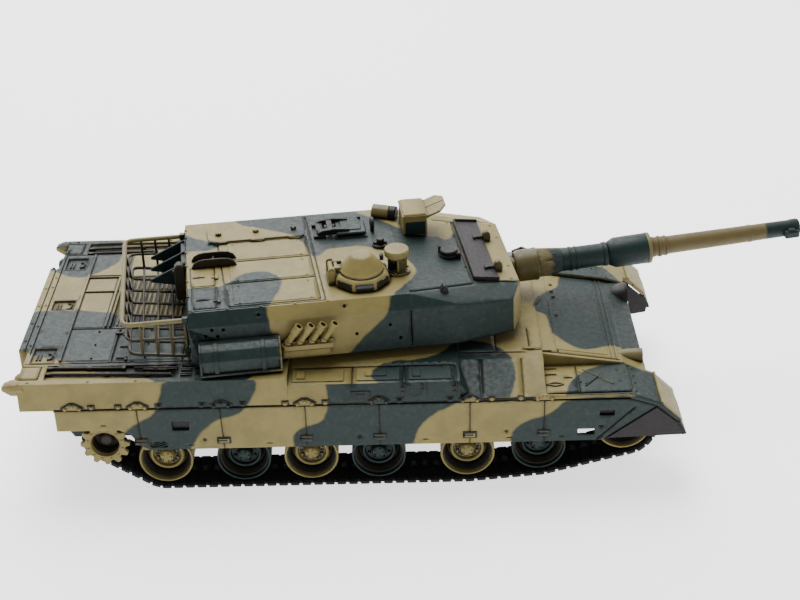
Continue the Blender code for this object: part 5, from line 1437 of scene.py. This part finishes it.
def rubber_sheet():
    """The dark sheet across the front of the roof, with its edges turned up."""
    x0, x1, y0, y1 = 62.9, 75.6, -30.6, 30.2
    run = Matrix.Translation((x0, 0, roof_z(x0))) @ Matrix.Rotation(-math.atan(ROOF_SLOPE), 4, "Y")
    length = x1 - x0
    shapes = [block((0.3, y0, 0.1), (length, y1, 1.2), 0.3)]
    shapes.append(block((0, y0, 0.1), (1.0, y1, 2.1), 0.3))
    shapes.append(block((0.2, y0 - 0.4, 0.1), (length, y0 + 0.8, 2.2), 0.3))
    shapes.append(block((0.2, y1 - 0.8, 0.1), (length, y1 + 0.4, 2.2), 0.3))
    return moved(merged(shapes), run)


def sheet_brackets():
    """Two olive brackets in front of the rubber sheet, with dark catches behind them."""
    olive, dark = [], []
    for y in (11.3, -19.9):
        outline = [
            (-1.7, -1), (1.7, -1), (2.2, 2.2), (1.9, 4.2), (0.9, 5.4), (-0.9, 5.4), (-1.9, 4.2), (-2.2, 2.2)
        ]
        olive.append(moved(prism(outline, "Y", -1.5, 1.5, 0.5), Matrix.Translation((77, y, roof_z(77)))))
        dark.append(block((70.6, y - 0.8, roof_z(73) + 1.2), (76, y + 0.8, roof_z(73) + 2.4), 0.3))
        dark.append(block((70.2, y - 1.6, roof_z(73) + 0.8), (71.6, y + 1.6, roof_z(73) + 2.6), 0.3))
    return olive, dark


def cupola():
    """The octagon with its windows, the hinge bracket, and the hatch's domed lid on its arms."""
    x, y = CUPOLA
    eighth = math.pi / 8
    ring = turned(
        [(91.1, 10.4), (91.1, 13.6), (91.9, 13.9), (95.0, 13.6), (96.4, 12.2), (96.4, 10.4)], "Z", (x, y, 0),
        8, eighth,
    )
    core = turned(rod(91.1, 96.2, 10.9), "Z", (x, y, 0), 8, eighth)
    windows = []
    # the fifth face is behind the hinge and has no window
    for i in (0, 1, 2, 3, 5, 6, 7):
        window = block((11.9, -4.2, 91.9), (13.2, 4.2, 95.1), 0.2)
        turn = Matrix.Rotation(math.tau * i / 8, 4, "Z")
        windows.append(moved(window, Matrix.Translation((x, y, 0)) @ turn))
    uprights = []
    for y0 in (-30.4, -20.4):
        outline = [
            (-6.7, 91.2), (-3.1, 91.2), (-3.1, 98.6), (-3.7, 99.6), (-4.9, 100.1), (-6.1, 99.6), (-6.7, 98.6)
        ]
        uprights.append(prism(outline, "Y", y0, y0 + 1.6, 0.25))
        face, out = (y0 - 0.1, "-Y") if y0 < -25 else (y0 + 1.7, "Y")
        uprights.append(bolt((-4.9, face, 98), out, 1.1, 0.5))
    uprights.append(block((-6.5, -30.4, 91.2), (-0.5, -18.8, 93.4), 0.3))
    return core, ring, windows, uprights


def turret_pieces():
    """Every piece that rides on the turret or on its hatches."""
    shell = carved(cad_shape("turret_shell", TURRET, 0.4), turret_cuts())
    piece("turret_armour", shell, "turret", "camouflage", replaces=["turret_shell"], pitch=3.5)
    piece("roof_fittings", merged(roof_details()), "turret", "camouflage", pitch=3.5)
    piece("arched_plates", merged(arched_plates()), "turret", "brown")
    piece("hatch_frames", merged(hatch_frames()), "turret", "black")
    piece("small_roof_fittings", merged(small_roof_fittings()), "turret", "black")
    piece("rubber_sheet", rubber_sheet(), "turret", "flap")
    olive, dark = sheet_brackets()
    piece("sheet_brackets", merged(olive), "turret", "olive", extra=[("black", merged(dark))])
    sight_pieces()
    hatch_pieces()
    basket_pieces()
    for name, side in SIDES.items():
        stowage_box(name, side)
        smoke_tubes(name, side)


def hatch_pieces():
    """The cupola, and the two lids that turn on their hinges."""
    core, ring, windows, uprights = cupola()
    piece(
        "cupola", merged(core, softened(ring, 0.25), uprights), "turret", "sand",
        replaces=["commander_cupola"], extra=[("glass", merged(windows))],
    )
    x, y = CUPOLA
    dome = turned(
        [(96.5, 0), (96.5, 10.2), (96.8, 10.5), (97.9, 10.5), (98.2, 10.1), (98.9, 9.7), (103.2, 6.4),
         (104.2, 5.5), (104.7, 4.9), (104.8, 4.4), (104.8, 0)], "Z", (x, y, 0), 48,
    )
    arms = [
        block((-5, -28.0, 96.9), (0.6, -26.4, 99.0), 0.3), block((-5, -21.4, 96.9), (0.6, -19.9, 99.0), 0.3),
        block((-3.4, -28.0, 97.3), (-1.6, -19.9, 98.7), 0.3), drum(1.3, "Y", -28.6, -20.8, (-5, 0, 98), 14),
    ]
    clip = block((x + 9.4, y + 3.4, 98.2), (x + 11.2, y + 6.4, 101), 0.4)
    piece(
        "commander_lid", merged(dome, arms), "turret", "sand", "commander_hatch", ["commander_hatch"],
        extra=[("black", clip)],
    )
    lid = block((2.0, 15.6, 92.3), (16.8, 32.6, 93.9), 0.4)
    ribs = [
        block((4.4, 18.4, 93.7), (14.6, 30, 94.3), 0.3), block((3.0, 16.4, 91.9), (15.8, 31.8, 92.5), 0.2),
        drum(0.9, "Z", 93.6, 95.0, (8, 31.4, 0), 12), drum(0.9, "Z", 93.6, 95.0, (14.6, 30.6, 0), 12),
    ]
    for y0 in (17.6, 29):
        ribs.append(drum(1.4, "Y", y0, y0 + 2.4, (-6, 0, 92.9), 16))
    arms = []
    for y0 in (17.8, 29.2):
        outline = [(-7, 92.2), (8.4, 92.9), (8.8, 94.9), (1, 95.6), (-5, 95.0), (-7.4, 93.8)]
        arms.append(prism(outline, "Y", y0 - 0.3, y0 + 2.3, 0.3))
    arms.append(block((-2.4, 18, 93.4), (0.6, 31, 95.2), 0.3))
    piece(
        "gunner_lid", merged(lid, ribs), "turret", "green", "gunner_hatch", ["gunner_hatch"],
        extra=[("black", merged(arms))],
    )


def sight_pieces():
    """The panoramic sight, the gunner's sight box with its open shutters, and the sensor box."""
    x, y = SIGHT
    cap = turned(
        [
            (99.4, 0), (99.4, 5.2), (99.8, 5.7), (101.2, 5.9), (102.6, 5.9), (103.1, 5.6), (103.2, 5.0),
            (103.2, 0),
        ],
        "Z", (x, y, 0), 40,
    )
    neck = turned(
        [(91.2, 0), (91.2, 4.9), (92.2, 4.9), (92.6, 4.3), (99.6, 4.5), (99.6, 0)], "Z", (x, y, 0), 40
    )
    ribs = [block((x - 0.5, y - 4.9, 92.4), (x + 0.5, y - 4.1, 99), 0.2)]
    ribs.append(block((x + 3.9, y - 0.8, 92.4), (x + 4.9, y + 0.8, 99), 0.2))
    flange = []
    for i in range(6):
        angle = math.tau * i / 6 + 0.3
        flange.append(bolt((x + 5.6 * math.cos(angle), y + 5.6 * math.sin(angle), 91.9), "Z", 0.7, 0.6))
    flange.append(turned(rod(91.1, 91.9, 6.4), "Z", (x, y, 0), 40))
    window = moved(
        block((4.0, -2.2, 94), (4.75, 2.2, 98.2), 0.2),
        Matrix.Translation((x, y, 0)) @ Matrix.Rotation(-2.2, 4, "Z"),
    )
    piece(
        "panoramic_head", merged(cap, ribs, flange), "turret", "sand", replaces=["panoramic_sight"],
        extra=[("olive", neck), ("glass", window)],
    )
    body = prism(
        [(35.5, 90.6), (47.5, 89.2), (47.5, 101.2), (46.8, 102), (36.2, 102), (35.5, 101.2)], "Y", 14, 32, 0.5
    )
    lip = block((35.1, 13.6, 100.6), (47.9, 32.4, 101.2), 0.2)
    leaves, hinges = [], []
    for y0, tip in ((14.4, 1), (23.4, -1)):
        width = 8.6
        a, b = (y0, y0 + width)
        outer, inner = (a, b) if tip > 0 else (b, a)
        outline = [(0, outer), (0, inner), (11.2, inner), (11.2, (outer + inner) / 2), (7.6, outer)]
        leaf = prism(outline, "Z", -0.6, 0.6, 0.2)
        leaves.append(moved(leaf, Matrix.Translation((47.2, 0, 99.6)) @ Matrix.Rotation(-0.37, 4, "Y")))
        for v in (a + 1.6, b - 1.6):
            hinges.append(drum(0.9, "Y", v - 0.8, v + 0.8, (47.9, 0, 99.4), 12))
    glass = merged(
        block((47.0, 15.4, 91.2), (47.75, 30.6, 97), 0.2), block((36.6, 13.7, 90.6), (46.6, 14.3, 97.6), 0.2)
    )
    piece(
        "sight_box", merged(body, lip, leaves, hinges), "turret", "sand", replaces=["gunner_sight_box"],
        extra=[("green", glass)],
    )
    outline = [(33, 90.8), (31.9, 93.2), (33.4, 96.2), (36.6, 97.2), (39.2, 95.4), (39.4, 90.8)]
    turn = Matrix.Translation((28.6, 35.6, 0)) @ Matrix.Rotation(-0.42, 4,
    "Z") @ Matrix.Translation((-28.6, -35.6, 0))
    box = moved(prism(outline, "X", 22.2, 31.4, 0.4), turn)
    end = moved(prism(outline, "X", 31.2, 35.0, 0.5), turn)
    piece("sensor_box", box, "turret", "rail", extra=[("black", end)])


def stowage_box(name, side):
    """The side box's lid, its ribs and its foot rim."""
    x0, x1 = -69.4, -32.6
    arch = [
        (47.5, 76.8), (53.2, 78.4), (57.3, 76.9), (60.3, 73.2), (60.3, 71), (59.8, 71), (59.2, 73),
        (56.6, 76), (53, 77.2), (47.5, 76),
    ]
    parts = [prism([(side * y, z) for y, z in arch], "X", x0, x1, 0.15)]
    for x in (-62.2, -40.4):
        strap = [
            (48, 77.4), (53.3, 78.9), (57.7, 77.3), (60.8, 73.4), (60.8, 66.4), (60, 66.4), (60, 73),
            (57, 76.4), (53, 78), (48, 76.6),
        ]
        parts.append(prism([(side * y, z) for y, z in strap], "X", x - 1.0, x + 1.0, 0.15))
    parts.append(block((x0 - 0.6, side * 50.6, 65.6), (x1 + 0.6, side * 61.4, 66.9), 0.3))
    for x in (x0, x1):
        end = [(50.8, 66), (61, 66), (60.9, 73.6), (57.8, 77.4), (53.2, 79), (50.8, 78.6)]
        parts.append(prism([(side * y, z) for y, z in end], "X", x - 0.5, x + 0.5, 0.15))
    piece(f"stowage_lid_{name}", merged(parts), "turret", "camouflage", pitch=0)
    door = [block((-31.6, side * 50.4, 66.8), (-8.6, side * 52.4, 71.2), 0.3)]
    door += [block((-31, side * 52, 67.4), (-9.2, side * 52.8, 70.6), 0.25)]
    piece(f"lower_door_{name}", merged(door), "turret", "camouflage", pitch=4.0)


def smoke_tubes(name, side):
    """Four flared tubes on a ledge, leaning forward and outward, with a black disc down each mouth as painted
    shade.
    """
    shapes = [
        prism(
            [
                (-31.9, side * 50.4), (-31.9, side * 53.6), (-30.5, side * 54.9), (-8.2, side * 54.9),
                (-7.2, side * 53.9), (-7.2, side * 50.4),
            ],
            "Z", 71.8, 74.4, 0.3,
        )
    ]
    bore_shades = []
    for i in range(4):
        base = Vector((-29.4 + 5.6 * i, side * 52.6, 74.0))
        along = Vector((6.0, side * 1.6, 10.0))
        turn = along.to_track_quat("Z", "Y").to_matrix().to_4x4()
        place = Matrix.Translation(base) @ turn
        tube = turned(
            [
                (-0.8, 0), (-0.8, 1.45), (7.0, 1.45), (7.4, 1.75), (12.5, 1.9), (12.5, 1.4), (10.8, 1.3),
                (10.8, 0),
            ],
            "Z", steps=24,
        )
        shapes.append(moved(tube, place))
        shapes.append(moved(turned([(1.6, 1.4), (1.6, 1.8), (2.6, 1.8), (2.6, 1.4)], "Z", steps=24), place))
        # painted shade: a black disc at the bottom of each tube's mouth
        bore_shades.append(moved(drum(1.35, "Z", 10.6, 11.1, steps=20, soft=0.1), place))
    piece(
        f"smoke_tubes_{name}", merged(shapes), "turret", "sand", replaces=[f"smoke_launcher_{name}"],
        extra=[("black", merged(bore_shades))],
    )


def basket_pieces():
    """Round bars with bent corners, and the finned unit on the turret's back."""
    front, back, half = -75.2, -104.0, 42.0
    low_front, low_back, top = 66.6, 70.4, 86.0
    rail = pipe(
        rounded([(front, half, top), (back, half, top), (back, -half, top), (front, -half, top)], 4.5), 1.15,
        12,
    )
    bars = [
        pipe(
            rounded(
                [(front, half, 76.5), (back + 1, half, 78), (back + 1, -half, 78), (front, -half, 76.5)], 4
            ),
            0.65,
        ),
        pipe(
            rounded(
                [
                    (front, half, low_front), (back + 2, half, low_back), (back + 2, -half, low_back),
                    (front, -half, low_front),
                ],
                4,
            ),
            0.85,
        ),
        pipe([(front, -half, low_front), (front, half, low_front)], 0.7),
    ]
    lit_near_bars = []
    for side in SIDES.values():
        group = lit_near_bars if side == RIGHT else bars
        group.append(pipe([(front, side * half, low_front), (front, side * half, top)], 0.85))
        for x in (-82, -89, -96):
            share = (front - x) / (front - back - 2)
            z = low_front + share * (low_back - low_front)
            group.append(pipe([(x, side * half, z), (x, side * half, top)], 0.65))
    count = 7
    for i in range(1, count):
        y = -half + 2 * half * i / count
        bars.append(pipe(rounded([(back, y, top), (back + 1.6, y, low_back), (front, y, low_front)], 2), 0.7))
    for x in (-82, -89, -96):
        share = (front - x) / (front - back - 2)
        z = low_front + share * (low_back - low_front)
        bars.append(pipe([(x, -half, z), (x, half, z)], 0.6))
    # painted light: the bars take a dark paint as shade, the near side's uprights a lighter olive as lit, and
    # the top rail a pale tan as a painted highlight
    piece(
        "basket_bars", merged(bars), "turret", "bar", replaces=["bustle_basket"],
        extra=[("rail", rail), ("olive", merged(lit_near_bars))],
    )
    fins = []
    for y in (33, 21, 9.4):
        fins.append(prism([(-74, 75), (-74, 88.4), (-91.5, 80), (-91.5, 78.8)], "Y", y, y + 1.2, 0.2))
    fins.append(block((-76, 8, 76), (-73.4, 35, 87), 0.3))
    fins.append(prism([(-74, 76.6), (-74, 77.6), (-86, 78.2), (-86, 77.2)], "Y", 9.6, 33.6, 0.2))
    piece("rear_fins", merged(fins), "turret", "green")
    post = prism(
        [(-79.6, 72), (-79.6, 88), (-78.8, 90.4), (-76.8, 91.6), (-74.8, 90.4), (-74, 88), (-74, 72)], "Y",
        1.6, 6.4, 0.6,
    )
    knob = drum(1.0, "X", -80.4, -79.4, (0, 4, 86.6), 14)
    piece("rear_post", merged(post, knob), "turret", "brown")
    brackets = []
    for side in SIDES.values():
        for z in (top, 70):
            brackets.append(block((-76.4, side * 40.6, z - 1.6), (-73.6, side * 43.4, z + 1.6), 0.3))
    piece("basket_brackets", merged(brackets), "turret", "camouflage", pitch=0)


# Gun ------------------------------------------------------------------------------------------

SLEEVE_START, SLEEVE_END = 40.2, 53.4


def crumpled_sleeve():
    """The canvas behind the thermal sleeve, gathered into folds that follow the barrel."""
    bm = bmesh.new()
    rows, steps = 22, 72
    rings = []
    for r in range(rows + 1):
        share = r / rows
        x = SLEEVE_START + (SLEEVE_END - SLEEVE_START) * share
        swell = 6.5 - 0.9 * share + 0.55 * math.sin(math.pi * share)
        ring = []
        for i in range(steps):
            angle = math.tau * i / steps
            place = Vector((share * 1.5, 2.4 * math.cos(angle), 2.4 * math.sin(angle)))
            fold = noise.noise(place * 1.15) * 0.75 + abs(noise.noise(place * 2.6 + Vector((7, 1, 3)))) * 0.7
            calm = math.sin(math.pi * share) ** 0.5 if 0 < share < 1 else 0.0
            radius = swell + fold * calm
            ring.append(bm.verts.new((x, radius * math.cos(angle), radius * math.sin(angle))))
        rings.append(ring)
    for near, far in zip(rings, rings[1:]):
        for i in range(steps):
            j = (i + 1) % steps
            bm.faces.new((near[i], near[j], far[j], far[i]))
    bm.faces.new(rings[0])
    bm.faces.new(rings[-1])
    return closed(bm)


def gun_pieces():
    """The collar with its pins, the sleeves, the extractor and the barrel."""
    collar = turned(
        [(10, 0), (10, 4.7), (29.5, 4.7), (29.5, 7.1), (31, 7.9), (33, 8.0), (39, 8.1), (39.6, 8.3),
         (40.6, 8.3), (41, 7.9), (41, 0)], "X", steps=48,
    )
    pins = [
        drum(3.4, "Y", -23.6, 23.6, steps=20), drum(6, "Y", -18, 18, steps=28),
        drum(4.6, "X", 0, 12, steps=28),
    ]
    heads = []
    for y, z in ring_points(12, 7.3, (0, 0)):
        heads.append(bolt((40.9, y, z), "X", 0.5, 0.4))
    piece("mantlet_collar", merged(collar, pins, heads), "gun", "olive", replaces=["gun_mantlet"])
    piece("canvas_sleeve", crumpled_sleeve(), "gun", "canvas", pitch=0)
    sleeve = turned(
        [(53.2, 0), (53.2, 5.5), (53.6, 5.8), (57.2, 5.8), (57.5, 6.2), (58.5, 6.2), (58.8, 5.8), (60.2, 5.8),
         (60.5, 6.1), (61.2, 6.1), (61.5, 5.75), (74.4, 5.7), (74.8, 6.1), (76.6, 6.1), (77, 5.7), (77, 0)],
    "X", steps=40, )
    piece("thermal_sleeve", sleeve, "gun", "green")
    extractor = turned(
        [(77.3, 4.9), (77.3, 5.7), (78, 6.2), (81, 7.6), (96.8, 7.75), (98.2, 7.5), (98.5, 7.0), (98.5, 4.9)],
        "X", steps=40,
    )
    rim = turned(
        [(97.2, 4.8), (97.2, 7.8), (97.7, 7.95), (98.9, 7.8), (99.1, 7.2), (99.1, 4.8)], "X", steps=40
    )
    piece(
        "extractor", closed(extractor), "gun", "green", replaces=["fume_extractor"],
        extra=[("rail", closed(rim))],
    )
    barrel = turned(
        [(76.8, 0), (76.8, 4.5), (99, 4.7), (99.2, 5.3), (101.4, 5.2), (101.8, 4.9), (103, 4.9), (103.3, 5.3),
         (104.6, 5.3), (105, 4.9), (106.4, 4.9), (106.8, 5.2), (107.6, 5.1), (108, 4.6), (150, 4.3),
         (150.3, 4.5), (151.6, 4.5), (151.9, 4.25),
         (172.4, 4.1), (172.8, 4.4), (176.4, 4.3), (176.8, 4.0), (176.8, 2.5), (170.5, 2.3), (170.5, 0)], "X",
    steps=40, )
    barrel = refined(barrel, 4)
    # painted shade: a black disc at the bottom of the muzzle's bore
    mouth = drum(2.3, "X", 170.2, 170.8, steps=20, soft=0.05)
    sensor = [block((168, -7.2, -2.4), (175.4, -3.2, 1.2), 0.5), block((170, -6.4, 1), (173.6, -3.4, 2), 0.3)]
    piece(
        "barrel", barrel, "gun", "gun", replaces=["gun_barrel"], pitch=0,
        extra=[("black", mouth), ("green", merged(sensor))],
    )


# Kept nodes, and the order of making ----------------------------------------------------------


def repaint_kept_nodes():
    """CAD nodes whose shape is right keep it, and take a detailed material."""
    for name, look in KEPT_NODES.items():
        node = frame["nodes"][name]
        node.data.materials.clear()
        node.data.materials.append(LOOKS[look])


def mark_run(name, start, end):
    """Writes how far along the gun each corner of a piece is, from 0 to 1."""
    mesh = bpy.data.objects[name].data
    back = GUN.inverted()
    layer = mesh.attributes.new("run", "FLOAT", "POINT")
    shares = [((back @ v.co).x - start) / (end - start) for v in mesh.vertices]
    layer.data.foreach_set("value", shares)


hull_pieces()
running_gear()
turret_pieces()
gun_pieces()
mark_run("canvas_sleeve", SLEEVE_START, SLEEVE_END)
repaint_kept_nodes()


# Studio ---------------------------------------------------------------------------------------

# The camera's azimuth, tilt and roll in degrees, and its place in the hull's millimetres.
CAMERA_ANGLES = (0.318, 30.515, -1.491)
CAMERA_PLACE = (28.38, -650.19, 447.21)


def studio():
    """A pale paper sweep, a dim white world and three soft lights."""
    bm = bmesh.new()
    rows = []
    for x in (-3.0, 3.0):
        rows.append(
            [bm.verts.new((x, y, z)) for y, z in ((-3, 0), (1.6, 0), (2.1, 0.1), (2.4, 0.5), (2.5, 3))]
        )
    for i in range(4):
        bm.faces.new((rows[0][i], rows[1][i], rows[1][i + 1], rows[0][i + 1]))
    floor = as_object(bm, "floor")
    bpy.context.scene.collection.objects.link(floor)
    floor.data.materials.append(bpy.data.materials.new("floor_paper"))
    floor.data.materials[0].use_nodes = True
    shader = floor.data.materials[0].node_tree.nodes["Principled BSDF"]
    shader.inputs["Base Color"].default_value = (0.8, 0.8, 0.8, 1)
    shader.inputs["Emission Color"].default_value = (1, 1, 1, 1)
    shader.inputs["Emission Strength"].default_value = 1.5
    shader.inputs["Roughness"].default_value = 0.9
    world = bpy.data.worlds.new("studio")
    world.use_nodes = True
    world.node_tree.nodes["Background"].inputs["Color"].default_value = (1, 1, 1, 1)
    world.node_tree.nodes["Background"].inputs["Strength"].default_value = 0.35
    bpy.context.scene.world = world
    middle = HULL @ Vector((0, 0, 50))
    for name, place, size, power in (
        ("top_light", (-0.15, 0.45, 1.3), 1.0, 34), ("back_light", (-0.35, 1.3, 0.85), 0.9, 9),
        ("front_light", (0.5, -1.5, 0.8), 0.8, 2),
    ):
        lamp = bpy.data.lights.new(name, "AREA")
        lamp.size = size
        lamp.energy = power
        made = bpy.data.objects.new(name, lamp)
        made.location = middle + Vector(place)
        made.rotation_euler = (middle - made.location).to_track_quat("-Z", "Y").to_euler()
        bpy.context.scene.collection.objects.link(made)


def camera():
    """The camera fitted to the photograph's view."""
    azimuth, tilt, roll = (math.radians(angle) for angle in CAMERA_ANGLES)
    forward = Vector(
        (-math.sin(azimuth) * math.cos(tilt), math.cos(azimuth) * math.cos(tilt), -math.sin(tilt))
    )
    level = Vector((math.cos(azimuth), math.sin(azimuth), 0))
    upright = level.cross(forward)
    right = math.cos(roll) * level + math.sin(roll) * upright
    up = -math.sin(roll) * level + math.cos(roll) * upright
    data = bpy.data.cameras.new("camera")
    data.lens, data.sensor_width = 67.9, 36.0
    data.clip_start, data.clip_end = 0.01, 20
    made = bpy.data.objects.new("camera", data)
    turn = Matrix((right, up, -forward)).transposed().to_4x4()
    made.matrix_world = Matrix.Translation(HULL @ Vector(CAMERA_PLACE)) @ turn
    bpy.context.scene.collection.objects.link(made)
    bpy.context.scene.camera = made


studio()
camera()
bpy.context.view_layer.update()
